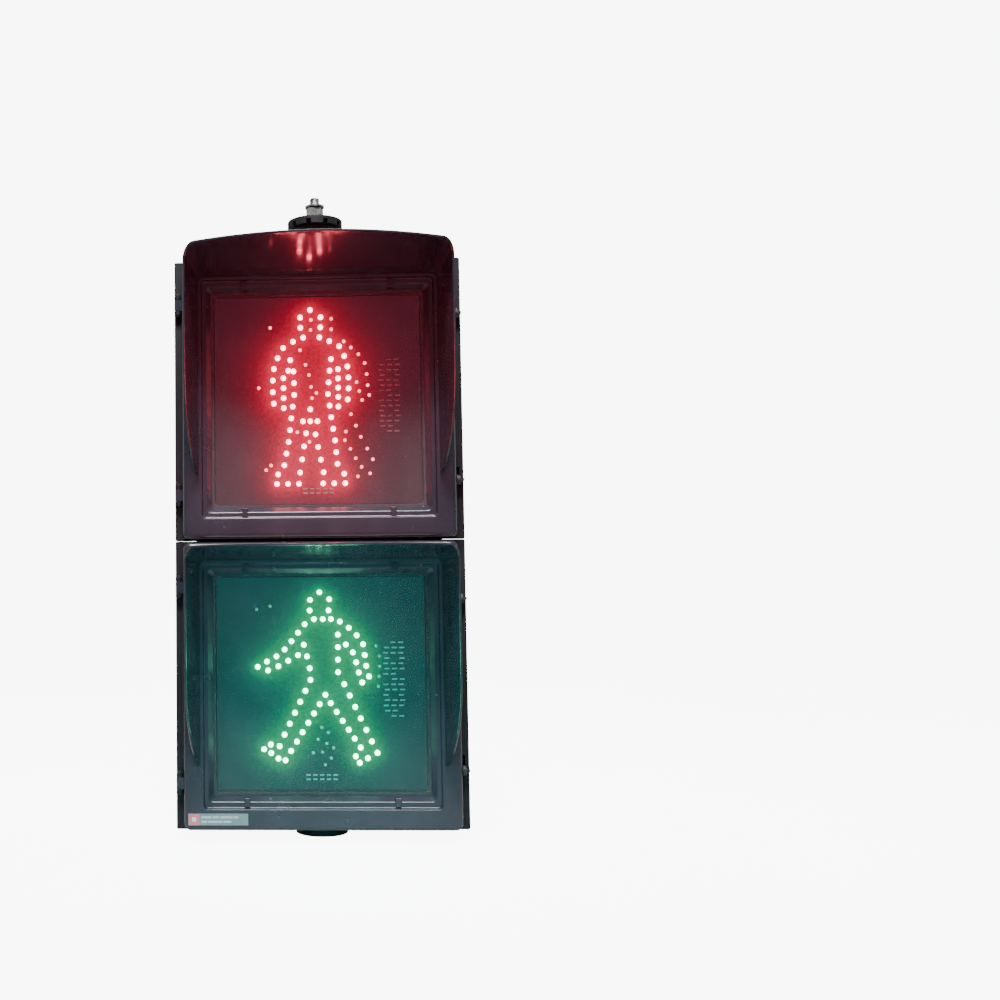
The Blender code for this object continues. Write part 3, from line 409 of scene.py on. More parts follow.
class Surface:
    """A Principled material and short calls for the nodes that feed it."""

    def __init__(self, name, **constants):
        self.material = bpy.data.materials.new(name)
        self.material.use_nodes = True
        self.tree = self.material.node_tree
        self.shader = self.tree.nodes["Principled BSDF"]
        self.place = self.tree.nodes.new("ShaderNodeTexCoord").outputs["Object"]
        for socket, value in constants.items():
            self.shader.inputs[socket].default_value = value

    def node(self, kind, **settings):
        made = self.tree.nodes.new(kind)
        for key, value in settings.items():
            setattr(made, key, value)
        return made

    def link(self, source, target):
        self.tree.links.new(source, target)

    def stretched(self, scale):
        mapping = self.node("ShaderNodeMapping")
        mapping.inputs["Scale"].default_value = scale
        self.link(self.place, mapping.inputs["Vector"])
        return mapping.outputs["Vector"]

    def noise(self, scale, detail=4, roughness=0.5, place=None):
        noise = self.node("ShaderNodeTexNoise")
        noise.inputs["Scale"].default_value = scale
        noise.inputs["Detail"].default_value = detail
        noise.inputs["Roughness"].default_value = roughness
        self.link(place or self.place, noise.inputs["Vector"])
        return noise.outputs["Fac"]

    def ramp(self, source, *stops):
        """Stops are (position, (r, g, b))."""
        ramp = self.node("ShaderNodeValToRGB")
        elements = ramp.color_ramp.elements
        while len(elements) < len(stops):
            elements.new(0.5)
        for element, (position, colour) in zip(elements, stops):
            element.position = position
            element.color = (*colour, 1)
        self.link(source, ramp.inputs["Fac"])
        return ramp.outputs["Color"]

    def spread(self, source, low, high, source_low=0.35, source_high=0.65):
        """Maps a pattern's usual range to the range from low to high."""
        spread = self.node("ShaderNodeMapRange")
        spread.inputs["From Min"].default_value = source_low
        spread.inputs["From Max"].default_value = source_high
        spread.inputs["To Min"].default_value = low
        spread.inputs["To Max"].default_value = high
        self.link(source, spread.inputs["Value"])
        return spread.outputs["Result"]

    def feed(self, socket, source):
        self.link(source, self.shader.inputs[socket])

    def bump(self, height, distance, strength=1.0, under=None):
        bump = self.node("ShaderNodeBump")
        bump.inputs["Distance"].default_value = distance
        bump.inputs["Strength"].default_value = strength
        self.link(height, bump.inputs["Height"])
        if under is not None:
            self.link(under, bump.inputs["Normal"])
        self.feed("Normal", bump.outputs["Normal"])
        return bump.outputs["Normal"]


def plastic(name, dark, light, rough, grain=900, bump=0.004 * MM, ripple=0, shine=0.5):
    """Moulded plastic: slightly uneven colour and gloss, a faint skin texture, and ripples along X."""
    made = Surface(name, **{"Specular IOR Level": shine})
    cloud = made.noise(14, detail=5)
    made.feed("Base Color", made.ramp(cloud, (0.3, dark), (0.7, light)))
    made.feed("Roughness", made.spread(made.noise(30, detail=3), *rough, 0.3, 0.7))
    flow = made.bump(made.noise(28, detail=1), 0.2 * MM, 0.25)
    skin = made.bump(made.noise(grain, detail=2), bump, 1.0, under=flow)
    if ripple:
        made.bump(made.noise(200, detail=1, place=made.stretched((0.1, 1, 1))), ripple, 1.0, under=skin)
    return made.material


def metal(name, dark, light, rough):
    """Zinc-plated steel: patchy plating with fine drawn lines."""
    made = Surface(name, Metallic=1.0)
    patches = made.noise(160, detail=6, roughness=0.65)
    made.feed("Base Color", made.ramp(patches, (0.3, dark), (0.7, light)))
    lines = made.noise(300, detail=3, place=made.stretched((1, 1, 9)))
    made.feed("Roughness", made.spread(lines, *rough))
    made.bump(lines, 0.03 * MM, 0.6)
    return made.material


def clear_cover():
    """The lens: clear sheet that lets the LEDs' light through and mirrors a little of the room."""
    made = Surface("clear_cover", IOR=1.49)
    cloud = made.noise(20)
    made.feed("Base Color", made.ramp(cloud, (0.3, (0.18, 0.18, 0.2)), (0.7, (0.24, 0.24, 0.26))))
    smear = made.noise(9, detail=3)
    made.feed("Roughness", made.spread(smear, 0.12, 0.2))
    made.bump(made.noise(16, detail=1), 0.2 * MM, 0.2)
    clear = made.node("ShaderNodeBsdfTransparent")
    clear.inputs["Color"].default_value = (0.93, 0.93, 0.94, 1)
    slant = made.node("ShaderNodeLayerWeight")
    slant.inputs["Blend"].default_value = 0.5
    mirror = made.node("ShaderNodeMath", operation="POWER")
    made.link(slant.outputs["Facing"], mirror.inputs[0])
    mirror.inputs[1].default_value = 5
    mixed = made.node("ShaderNodeMixShader")
    share = made.spread(mirror.outputs["Value"], 0.08, 1.0, 0.0, 1.0)
    made.link(share, mixed.inputs["Fac"])
    made.link(clear.outputs["BSDF"], mixed.inputs[1])
    made.link(made.shader.outputs["BSDF"], mixed.inputs[2])
    output = made.tree.nodes["Material Output"]
    made.link(mixed.outputs["Shader"], output.inputs["Surface"])
    return made.material


def lit_board(name, dark, light, glow_stops):
    """The LED carrier's face: dark plastic tinted by painted LED light, with the LEDs' spilled light painted
    on it as emission round the figure.
    """
    made = Surface(name, **{"Roughness": 0.9, "Specular IOR Level": 0.1, "Emission Strength": 2.2})
    cloud = made.noise(30, detail=5)
    made.feed("Base Color", made.ramp(cloud, (0.3, dark), (0.7, light)))
    # Painted light: the glow attribute drives emission that stands in for the LEDs' spill on the board
    glow = made.node("ShaderNodeAttribute", attribute_name="glow")
    ragged = made.node("ShaderNodeMath", operation="MULTIPLY")
    made.link(glow.outputs["Fac"], ragged.inputs[0])
    made.link(made.spread(made.noise(260, detail=3), 0.82, 1.18), ragged.inputs[1])
    made.feed("Emission Color", made.ramp(ragged.outputs["Value"], *glow_stops))
    return made.material


def glowing(name, core, edge, strength):
    """An LED's epoxy dome: brightest facing the viewer, deeper coloured at its rim."""
    made = Surface(name, **{"Roughness": 0.12, "IOR": 1.5, "Emission Strength": strength})
    facing = made.node("ShaderNodeLayerWeight")
    facing.inputs["Blend"].default_value = 0.35
    made.feed("Emission Color", made.ramp(facing.outputs["Facing"], (0.1, core), (0.9, edge)))
    made.feed("Base Color", made.ramp(made.noise(400), (0.3, edge), (0.7, core)))
    return made.material


def printed_board(dark, light, copper):
    """Solder mask with faint copper traces under it."""
    made = Surface("driver_board", Roughness=0.35)
    traces = made.node("ShaderNodeTexBrick")
    traces.inputs["Scale"].default_value = 90
    traces.inputs["Mortar Size"].default_value = 0.018
    traces.inputs["Color1"].default_value = (*dark, 1)
    traces.inputs["Color2"].default_value = (*light, 1)
    traces.inputs["Mortar"].default_value = (*copper, 1)
    swap = made.node("ShaderNodeMapping")
    swap.inputs["Rotation"].default_value = (math.radians(90), 0, 0)
    made.link(made.place, swap.inputs["Vector"])
    made.link(swap.outputs["Vector"], traces.inputs["Vector"])
    made.feed("Base Color", traces.outputs["Color"])
    made.bump(traces.outputs["Fac"], 0.05 * MM, 0.6)
    return made.material


def make_looks():
    looks = {name: plastic(name, *values) for name, values in PLASTICS.items()}
    looks["zinc_steel"] = metal("zinc_steel", (0.34, 0.34, 0.33), (0.48, 0.48, 0.46), (0.24, 0.44))
    looks["clear_lens"] = clear_cover()
    # Both boards are one dark plastic; their red and green tints are painted light from each section's LEDs
    looks["red_board"] = lit_board("red_board", (0.008, 0.002, 0.003), (0.014, 0.004, 0.006), RED_GLOW)
    looks["green_board"] = lit_board("green_board", (0.001, 0.008, 0.007), (0.002, 0.014, 0.012), GREEN_GLOW)
    looks["red_led"] = glowing("red_led", (1.0, 0.16, 0.19), (1.0, 0.03, 0.05), 32)
    looks["green_led"] = glowing("green_led", (0.30, 1.0, 0.60), (0.05, 1.0, 0.40), 22)
    looks["red_led_dim"] = glowing("red_led_dim", (1.0, 0.14, 0.18), (0.9, 0.03, 0.06), 7)
    looks["green_led_dim"] = glowing("green_led_dim", (0.10, 0.6, 0.40), (0.03, 0.3, 0.2), 0.35)
    looks["driver_board"] = printed_board((0.008, 0.075, 0.03), (0.012, 0.09, 0.036), (0.05, 0.20, 0.07))
    return looks


LOOKS = make_looks()


# ---------------------------------------------------------------- housing and door


def housing_corners():
    """From the inner floor forward to the mouth, round the flange and its groove, and back outside."""
    groove_floor = FLANGE_FRONT + GROOVE_DEPTH
    groove_x, groove_z = GROOVE_HALF[0] + GROOVE_WIDTH, GROOVE_HALF[1] + GROOVE_WIDTH
    outer_x, outer_z = SHELL_HALF
    inner_x, inner_z = outer_x - HOUSING_WALL, outer_z - HOUSING_WALL
    taper, panel_in, panel_depth = 10 * MM, 22 * MM, 1.2 * MM
    side_end = HOUSING_BACK - 24 * MM
    fine = 0.6 * MM
    return [
        (inner_x - taper, inner_z - taper, 12 * MM, HOUSING_BACK - HOUSING_WALL, 0),
        (inner_x - 2.5 * MM, inner_z - 2.5 * MM, 11 * MM, HOUSING_BACK - 9 * MM, 4 * MM),
        (inner_x, inner_z, 9 * MM, side_end, 8 * MM),
        (inner_x, inner_z, 9 * MM, FLANGE_BACK + 1 * MM, fine),
        (*MOUTH_HALF, 9 * MM, FLANGE_BACK, fine),
        (*MOUTH_HALF, 9 * MM, FLANGE_FRONT, fine),
        (*GROOVE_HALF, 9 * MM, FLANGE_FRONT, fine),
        (*GROOVE_HALF, 9 * MM, groove_floor, fine),
        (groove_x, groove_z, 10 * MM, groove_floor, fine),
        (groove_x, groove_z, 10 * MM, FLANGE_FRONT, fine),
        (*FLANGE_HALF, 2 * MM, FLANGE_FRONT, 1 * MM),
        (*FLANGE_HALF, 2 * MM, FLANGE_BACK, 1 * MM),
        (outer_x, outer_z, 6 * MM, FLANGE_BACK, 0.3 * MM),
        (outer_x, outer_z, 12 * MM, side_end, 8 * MM),
        (outer_x - 2.5 * MM, outer_z - 2.5 * MM, 14 * MM, HOUSING_BACK - 6 * MM, 4 * MM),
        (outer_x - taper, outer_z - taper, 14 * MM, HOUSING_BACK, 3 * MM),
        (outer_x - panel_in, outer_z - panel_in, 10 * MM, HOUSING_BACK, 1 * MM),
        (outer_x - panel_in - 1 * MM, outer_z - panel_in - 1 * MM, 9 * MM, HOUSING_BACK - panel_depth, 0),
    ]


def knuckle_mesh(low, high, centre_z):
    """A short bar on the hinge's axis, with chamfered ends."""
    inner = KNUCKLE_RADIUS - KNUCKLE_EDGE
    outline = [(inner, low, 0), (KNUCKLE_RADIUS, low + KNUCKLE_EDGE, 0)]
    outline += [(KNUCKLE_RADIUS, high - KNUCKLE_EDGE, 0), (inner, high, 0)]
    return turned("knuckle", outline, False, (HINGE_X, HINGE_Y, centre_z), sides=40)


def housing_eyes(centre_z):
    """Two hinge eyes with their webs on the flange, above and below each knuckle of the door."""
    shapes = []
    for height in HINGE_HEIGHTS:
        for side in (-1, 1):
            near = height + side * (KNUCKLE_HALF_LENGTH + GAP)
            low, high = sorted((near, near + side * EYE_LENGTH))
            shapes.append(knuckle_mesh(low, high, centre_z))
            reach = KNUCKLE_RADIUS - KNUCKLE_EDGE
            web_low = (HINGE_X - reach, HINGE_Y, centre_z + low + KNUCKLE_EDGE / 2)
            web_high = (HINGE_X + reach, FLANGE_FRONT + 2 * MM, centre_z + high - KNUCKLE_EDGE / 2)
            shapes.append(block("web", web_low, web_high))
    return shapes


def back_ribs(centre_z):
    """Low horizontal ribs on the recessed panel of the housing's back."""
    ribs = []
    count, spacing, half_height = 5, 48 * MM, 2.5 * MM
    half_length = SHELL_HALF[0] - 34 * MM
    for step in range(count):
        z = centre_z + (step - (count - 1) / 2) * spacing
        rings = []
        for depth, shrink in ((2 * MM, 0), (0.7 * MM, 0), (0.3 * MM, 0.6 * MM)):
            width, height = half_length - shrink, half_height - shrink
            rings.append(rounded_rectangle(width, height, height * 0.98, HOUSING_BACK - depth, z))
        ribs.append(skinned("rib", rings))
    return ribs


def make_housing(section):
    """The shell with its hinge eyes, back ribs, latch keepers and holes."""
    centre_z = CENTRES[section]
    mesh = framed(f"{section}_housing_shell", housing_corners(), False, centre_z)
    cases, cutters = [], []
    wall = 2 * MM
    for height in LATCH_HEIGHTS.values():
        low = Vector((LATCH_INNER_X + 0.1 * MM, FLANGE_FRONT - 1 * MM, centre_z + height - 4 * MM))
        high = Vector((LATCH_INNER_X + 4.8 * MM, FLANGE_BACK + 6.5 * MM, centre_z + height + 16 * MM))
        case_low = (SHELL_HALF[0] - 1 * MM, FLANGE_BACK - 1 * MM, low.z - wall)
        cases.append(block("keeper", case_low, (high.x + wall, high.y + wall, high.z + wall)))
        cutters.append(block("keeper_space", low, high))
    mesh = carved(mesh, housing_eyes(centre_z) + back_ribs(centre_z) + cases, "UNION")
    outward = 1 if section == "upper" else -1
    holes = [(7 * MM, outward, (0, 0)), (25.2 * MM, -outward, (0, 0))]
    if section == "lower":
        holes.append((11 * MM, outward, (-95 * MM, 20 * MM)))
    for radius, side, (x, y) in holes:
        wall_z = centre_z + side * SHELL_HALF[1]
        hole = [(radius, wall_z - 2 * HOUSING_WALL, 0), (radius, wall_z + 2 * HOUSING_WALL, 0)]
        cutters.append(turned("hole", hole, False, (x, y, 0)))
    fixed_piece(f"{section}_housing_shell", carved(mesh, cutters), "housing_plastic", f"{section}_housing")


def make_hinge_pins(section):
    pins = []
    reach = KNUCKLE_HALF_LENGTH + GAP + EYE_LENGTH
    radius, head_radius, edge = 1.9 * MM, 3 * MM, 0.4 * MM
    for height in HINGE_HEIGHTS:
        head = height + reach + GAP
        corners = [
            (radius - edge, height - reach - 1 * MM, 0),
            (radius, height - reach - 1 * MM + edge, 0),
            (radius, head, 0),
            (head_radius, head, 0.3 * MM),
            (head_radius, head + 1.5 * MM, 0.6 * MM),
            (0.3 * MM, head + 1.5 * MM, 0),
        ]
        pins.append(turned("pin", corners, False, (HINGE_X, HINGE_Y, CENTRES[section]), sides=32))
    mesh = one_material(joined(f"{section}_hinge_pins", pins))
    nodes = [f"{section}_hinge_pin_{end}" for end in ("top", "bottom")]
    fixed_piece(f"{section}_hinge_pins", mesh, "matt_plastic", *nodes)


def door_corners():
    """Outer wall, rounded edge, face, stepped window, sloped lens lip and the collar round the module."""
    half_x, half_z = DOOR_HALF
    lip_x, lip_z = LIP_HALF
    collar_x, collar_z = COLLAR_HALF
    lip_back = DOOR_FACE + 14.8 * MM
    shelf_back = SHELF_Y + 2.1 * MM
    face_back = DOOR_FACE + 3.2 * MM
    window_x, window_z = WINDOW_HALF
    rim = 2.5 * MM
    fine = 0.4 * MM
    return [
        (half_x, half_z, DOOR_RADIUS, DOOR_BACK, fine),
        (half_x, half_z, DOOR_RADIUS, DOOR_FACE, EDGE_ROUNDING),
        (window_x, window_z, 5 * MM, DOOR_FACE, 0.9 * MM),
        (window_x - 0.8 * MM, window_z - 0.8 * MM, 5 * MM, SHELF_Y, 1.4 * MM),
        (lip_x + LIP_SLOPE + 1 * MM, lip_z + LIP_SLOPE + 1 * MM, 6 * MM, SHELF_Y, 1 * MM),
        (lip_x + 0.6 * MM, lip_z + 0.6 * MM, 4 * MM, SHELF_Y + LIP_DEPTH, 0.8 * MM),
        (lip_x, lip_z, 3 * MM, lip_back, fine),
        (collar_x, collar_z, 4 * MM, lip_back, fine),
        (collar_x, collar_z, 4 * MM, COLLAR_END, fine),
        (collar_x + rim, collar_z + rim, 6 * MM, COLLAR_END, fine),
        (collar_x + rim, collar_z + rim, 6 * MM, shelf_back, fine),
        (window_x + rim, window_z + rim, 7 * MM, shelf_back, fine),
        (window_x + rim, window_z + rim, 7 * MM, face_back, fine),
        (half_x - DOOR_WALL, half_z - DOOR_WALL, DOOR_RADIUS - DOOR_WALL, face_back, 1 * MM),
        (half_x - DOOR_WALL, half_z - DOOR_WALL, DOOR_RADIUS - DOOR_WALL, DOOR_BACK, fine),
    ]


def make_door_frame(section):
    centre_z = CENTRES[section]
    mesh = framed("door_panel", door_corners(), True, centre_z)
    knuckles = []
    for height in HINGE_HEIGHTS:
        low, high = height - KNUCKLE_HALF_LENGTH, height + KNUCKLE_HALF_LENGTH
        knuckles.append(knuckle_mesh(low, high, centre_z))
        web_low = (HINGE_X, HINGE_Y - 3.4 * MM, centre_z + low + KNUCKLE_EDGE / 2)
        web_high = (DOOR_WALL / 2 - DOOR_HALF[0], HINGE_Y + 3.4 * MM, centre_z + high - KNUCKLE_EDGE / 2)
        knuckles.append(block("web", web_low, web_high))
    mesh = carved(mesh, knuckles, "UNION")
    door_piece(section, "door_panel", mesh, "door_plastic", "door_plastic", "door_frame")


def visor_outline(base, shrink):
    """Left half of the visor's outline, from the bottom of its side to the middle of its roof."""
    half_width, top, corner = (size - shrink for size in base)
    side_steps, corner_steps, roof_steps = 28, 10, 20
    outline = []
    for step in range(side_steps):
        share = step / side_steps
        outline.append((-half_width, VISOR_SIDE_BOTTOM + share * (top - corner - VISOR_SIDE_BOTTOM)))
    for step in range(corner_steps):
        angle = math.radians(90) * step / corner_steps
        x = -(half_width - corner) - corner * math.cos(angle)
        outline.append((x, top - corner + corner * math.sin(angle)))
    for step in range(roof_steps + 1):
        outline.append((-(half_width - corner) * (1 - step / roof_steps), top))
    return outline, side_steps, corner_steps


def visor_depth(index, point, side_steps, corner_steps, roof_start_x):
    """How far the visor reaches forward at one place of its outline."""
    x, height = point
    bulge = VISOR_CENTRE_DEPTH - VISOR_CORNER_DEPTH
    if index < side_steps:
        below = max(0.0, VISOR_SIDE_STRAIGHT_TO - height)
        return VISOR_SIDE_DEPTH * (1 - (below / VISOR_SIDE_FADE) ** 3)
    if index >= side_steps + corner_steps:
        return VISOR_CORNER_DEPTH + bulge * (1 - (x / VISOR_FRONT[0]) ** 2)
    share = (index - side_steps) / corner_steps
    roof_depth = VISOR_CORNER_DEPTH + bulge * (1 - (roof_start_x / VISOR_FRONT[0]) ** 2)
    return VISOR_SIDE_DEPTH + (roof_depth - VISOR_SIDE_DEPTH) * share**2 * (3 - 2 * share)


def visor_ring(base, front, base_in, front_in, depth):
    """The wall's section at one place: out along the outside, round the lip and back along the inside."""
    flare = min(1.0, depth / VISOR_SIDE_DEPTH)
    base_y = DOOR_FACE - GAP
    front_y = DOOR_FACE - depth
    spans = 5

    def at(start, end, share):
        reach = share * flare
        x = start[0] + reach * (end[0] - start[0])
        return Vector((x, base_y + (front_y - base_y) * share, start[1] + reach * (end[1] - start[1])))

    shares = [step / spans for step in range(spans + 1)]
    outside = [at(base, front, share) for share in shares]
    inside = [at(base_in, front_in, share) for share in shares]
    rounding = min(0.8 * MM, abs(front_y - base_y) / 4)
    outer_lip = bend(outside[-2], outside[-1], inside[-1], rounding)
    inner_lip = bend(outside[-1], inside[-1], inside[-2], rounding)
    return outside[:-1] + outer_lip + inner_lip + inside[-2::-1]


def make_visor(section):
    base, side_steps, corner_steps = visor_outline(VISOR_BASE, 0)
    base_in = visor_outline(VISOR_BASE, VISOR_WALL)[0]
    front = visor_outline(VISOR_FRONT, 0)[0]
    front_in = visor_outline(VISOR_FRONT, VISOR_WALL)[0]
    roof_start_x = front[side_steps + corner_steps][0]
    half = []
    for index, places in enumerate(zip(base, front, base_in, front_in)):
        depth = visor_depth(index, places[1], side_steps, corner_steps, roof_start_x)
        half.append(visor_ring(*places, depth))
    mirrored = [[Vector((-x, y, z)) for x, y, z in ring] for ring in reversed(half[:-1])]
    raised = [[(x, y, z + CENTRES[section]) for x, y, z in ring] for ring in half + mirrored]
    door_piece(section, "visor_hood", skinned("visor", raised), "visor_plastic", "visor_plastic", "visor")


def make_clips(section):
    """Four L-shaped clips that stand on the window's shelf and press on the lens lip."""
    shelf = SHELF_Y - 0.4 * MM
    thick = 2.2 * MM
    foot = SHELF_Y + LIP_DEPTH - 0.5 * MM
    outer = WINDOW_HALF[1] - 1.5 * MM
    inner = LIP_HALF[1] + 1 * MM
    profile = [
        (shelf - thick, outer),
        (shelf - thick, inner),
        (foot, inner),
        (foot, inner + thick),
        (shelf, inner + thick),
        (shelf, outer),
    ]
    shapes = []
    for side_x in (-1, 1):
        for side_z in (-1, 1):
            rings = []
            for edge in (-CLIP_WIDTH / 2, CLIP_WIDTH / 2):
                rings.append([(side_x * CLIP_X + edge, y, CENTRES[section] + side_z * z) for y, z in profile])
            shapes.append(skinned("clip", rings))
    mesh = one_material(joined(f"{section}_lens_clips", shapes))
    nodes = [f"lens_clip_{end}_{side}" for end in ("top", "bottom") for side in ("left", "right")]
    clips = door_piece(section, "lens_clips", mesh, "door_plastic", "matt_plastic", *nodes)
    bevelled(clips, 0.5 * MM)


def make_lens(section):
    low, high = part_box(f"{section}_lens")
    mesh = plate_mesh("lens_cover", LENS_HALF, 3.5 * MM, low.y, high.y, 0.3 * MM, CENTRES[section])
    door_piece(section, "lens_cover", mesh, "clear_lens", "clear_lens", "lens")


def make_tray(section):
    """Rear cover of the LED module, with a rim that presses on the lens and a raised frame on its back."""
    rim_x, rim_z = COLLAR_HALF[0] - GAP, COLLAR_HALF[1] - GAP
    rim_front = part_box(f"{section}_module_tray")[0].y
    rim_back = rim_front + 3 * MM
    outer_x, outer_z = TRAY_HALF
    inner_x, inner_z = outer_x - TRAY_WALL, outer_z - TRAY_WALL
    fine = 0.5 * MM
    corners = [
        (inner_x - 6 * MM, inner_z - 6 * MM, 10 * MM, TRAY_BACK - TRAY_WALL, 0),
        (inner_x, inner_z, 10 * MM, TRAY_BACK - 8 * MM, 2 * MM),
        (inner_x, inner_z, 6 * MM, rim_front, fine),
        (rim_x, rim_z, 3.5 * MM, rim_front, fine),
        (rim_x, rim_z, 3.5 * MM, rim_back, fine),
        (outer_x, outer_z, 6 * MM, rim_back, fine),
        (outer_x, outer_z, 10 * MM, TRAY_BACK - 7 * MM, 2 * MM),
        (outer_x - 6 * MM, outer_z - 6 * MM, 12 * MM, TRAY_BACK, 1.5 * MM),
        (outer_x - 20 * MM, outer_z - 20 * MM, 8 * MM, TRAY_BACK, fine),
        (outer_x - 20.6 * MM, outer_z - 20.6 * MM, 8 * MM, TRAY_BACK - 0.8 * MM, 0),
    ]
    mesh = framed("module_cover", corners, False, CENTRES[section])
    door_piece(section, "module_cover", mesh, "matt_plastic", "matt_plastic", "module_tray")


def make_latch(section, end):
    """Quarter-turn latch: rounded hub, thumb bar, axle and the tongue behind the flange."""
    name = f"{section}_latch_{end}"
    z = CENTRES[section] + LATCH_HEIGHTS[end]
    inner = LATCH_INNER_X
    hub = [
        (0.5 * MM, inner, 0),
        (LATCH_HUB_RADIUS, inner, 0.4 * MM),
        (LATCH_HUB_RADIUS, inner + 5 * MM, 1.2 * MM),
        (0.5 * MM, inner + 5 * MM, 0),
    ]
    mesh = turned_along_x(f"{name}_knob", hub, False, LATCH_Y, z)
    axle = [(2 * MM, DOOR_HALF[0] - 6 * MM, 0), (2 * MM, inner + 1 * MM, 0)]
    tongue_low = (inner + 0.4 * MM, LATCH_Y, z - 3 * MM)
    tongue_high = (inner + 3.4 * MM, LATCH_Y + 16.5 * MM, z + 3 * MM)
    bar_low = (inner + 4 * MM, LATCH_Y - 5.2 * MM, z - 1.6 * MM)
    bar_high = (inner + 8.7 * MM, LATCH_Y + 5.2 * MM, z + 1.6 * MM)
    tools = [
        block("tongue", tongue_low, tongue_high),
        block("bar", bar_low, bar_high),
        turned_along_x("axle", axle, False, LATCH_Y, z),
    ]
    piece(f"{name}_knob", carved(mesh, tools, "UNION"), ["matt_plastic"], name, "matt_plastic", name)


def make_label():
    """A plain plate with a coloured square and two rows of blank bars."""
    low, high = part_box("lower_door_label")
    centre_z = (low.z + high.z) / 2
    print_y = low.y - 0.04 * MM
    half_square = (high.z - low.z) / 2 - 0.8 * MM
    half_middle = half_square - 3.6 * MM
    square_x = low.x + 0.8 * MM + half_square
    plate = block("plate", low, high)
    square = block_about("square", square_x, centre_z, half_square, half_square, print_y, high.y)
    middle_y = print_y - 0.02 * MM
    middle = block_about("middle", square_x, centre_z, half_middle, half_middle, middle_y, high.y)
    bars = []
    for row, lengths in ((2.6 * MM, (14, 9, 17, 6)), (-2.6 * MM, (8, 19, 11))):
        x = square_x + half_square + 2.5 * MM
        for length in lengths:
            half = length * MM * 0.425
            bars.append(block_about("bar", x + half, centre_z + row, half, 1.1 * MM, print_y, high.y))
            x += 2 * half + 1.4 * MM
    mesh = joined("label", [plate, square, middle, one_material(joined("bars", bars))])
    looks = ("label_face", "label_red", "label_pale", "label_grey")
    piece("lower_label_plate", mesh, looks, "lower_door", "label", "lower_door_label")


# ---------------------------------------------------------------- LED figures


def along(points, pitch):
    """Evenly spaced places along a line of points, both ends included."""
    lengths = [math.dist(a, b) for a, b in zip(points, points[1:])]
    total = sum(lengths)
    count = max(1, round(total / pitch))
    places = []
    for step in range(count + 1):
        left = total * step / count
        for index, length in enumerate(lengths):
            if left <= length or index == len(lengths) - 1:
                break
            left -= length
        share = min(1.0, left / lengths[index])
        a, b = points[index], points[index + 1]
        places.append((a[0] + (b[0] - a[0]) * share, a[1] + (b[1] - a[1]) * share))
    return places


def spaced(strokes):
    return [place for stroke in strokes for place in along(stroke, LED_PITCH / MM)]


def standing_figure():
    """Places in millimetres from the section's centre."""
    singles = [(-8, 110), (-9, -11.5), (-18, -26), (-9.2, -26)]
    singles += [(-0.5, -26), (-35, 36), (-48.5, -90), (31, -90)]
    strokes = [
        [(-20, 101), (-20, 89), (-16.6, 76.3)],
        [(4.8, 101), (4.4, 89), (3.1, 76.3)],
        [(-29, 71.5), (-41, 64), (-49, 49.5), (-53, 37), (-54.5, 16), (-53, -4)],
        [(-41, 27), (-41, -9.5)],
        [(-32.5, 49), (-28.5, 34), (-28, 7.5), (-32, -22), (-35, -48), (-41, -79)],
        [(-50, -101.5), (-23.5, -101.5)],
        [(-14.4, -40.5), (-22, -88)],
        [(-3, -42), (6.2, -88)],
        [(5.5, -101.5), (32, -101.5)],
        [(16.7, 49.5), (14, 28), (12.6, 7), (16, -20), (20.3, -48), (23, -78)],
        [(25, 37), (25, 14.5)],
        [(25, 3.2), (25, -8.5)],
        [(15, 71.5), (27, 65), (34, 50.5), (37, 38), (38, 19), (36.4, 0)],
    ]
    return singles + spaced(strokes)


def walking_figure():
    singles = [(-0.7, 108), (49, 0.7), (-68.5, -77.5), (-60.5, -72)]
    singles += [(-50, -74), (-60, -82), (-51.5, -88.5)]
    strokes = [
        [(-12, 99), (-12.6, 86.4)],
        [(11, 99.7), (10, 86.4)],
        [(-7.5, 76), (-17, 72), (-24, 63.5), (-40, 43), (-50, 33.4), (-63, 26.7), (-75.3, 19.6)],
        [(-63, 15.4), (-51, 20), (-27, 33.4)],
        [(-20, 45.7), (-16.5, 32.6), (-11, 7.3), (-18, -7.6), (-44, -60.5)],
        [(5, -13.6), (-43.2, -90.6)],
        [(3, 76), (12.7, 76)],
        [(23.3, 73), (32.7, 66.5), (43.3, 56.3), (50.7, 45.7), (54, 19.6), (57, 7.8)],
        [(20.7, 57.5), (20.3, 13)],
        [(30, 45.7), (39.4, 35), (45, 12.5)],
        [(27.5, -1.2), (65.7, -82)],
        [(11.2, -23.5), (46, -75.7)],
        [(40, -86), (43, -94.6), (54.3, -88.2)],
    ]
    return singles + spaced(strokes)


def dim_red_places():
    """LEDs of the figure's other step, faintly lit, right of the lit one and down its middle."""
    head = [(-7, 98), (-7.5, 85.5), (17.7, 99), (17.5, 86), (-56.5, 89)]
    middle = [(-20.5, 61), (-14, 43), (-10, 30.5), (-7.7, 16), (-1.3, 8.5), (-6.7, 2.4), (-71, 15.4)]
    arm = [(32.5, 71), (41, 63.4), (50, 55), (57.4, 44), (59.6, 30.5), (60.6, 17), (62.4, 5)]
    inner_arm = [(50.4, 10), (53.7, -1), (47.4, 21)]
    leg = [(40, -18), (45.7, -32), (51.5, -45.6), (59, -60), (65.6, -73), (62, -90), (47.4, -93.4)]
    inner_leg = [(32.3, -49.5), (38.8, -60), (45, -71.5), (52, -82), (33.6, -39)]
    feet = [(-57, -79), (-63, -84.6), (-10.4, -51), (-25, -39)]
    return head + middle + arm + inner_arm + leg + inner_leg + feet


def dim_green_places():
    between_legs = [(0, -52), (8, -58), (-4, -66), (6, -71), (14, -76), (-10, -82), (1, -81)]
    below = [(4, -96), (11, -88)]
    behind_arm = [(66, 44), (70, 32), (70, 20), (69, 8), (68, -4)]
    return between_legs + below + behind_arm + [(-60, 92), (-76, 88)]


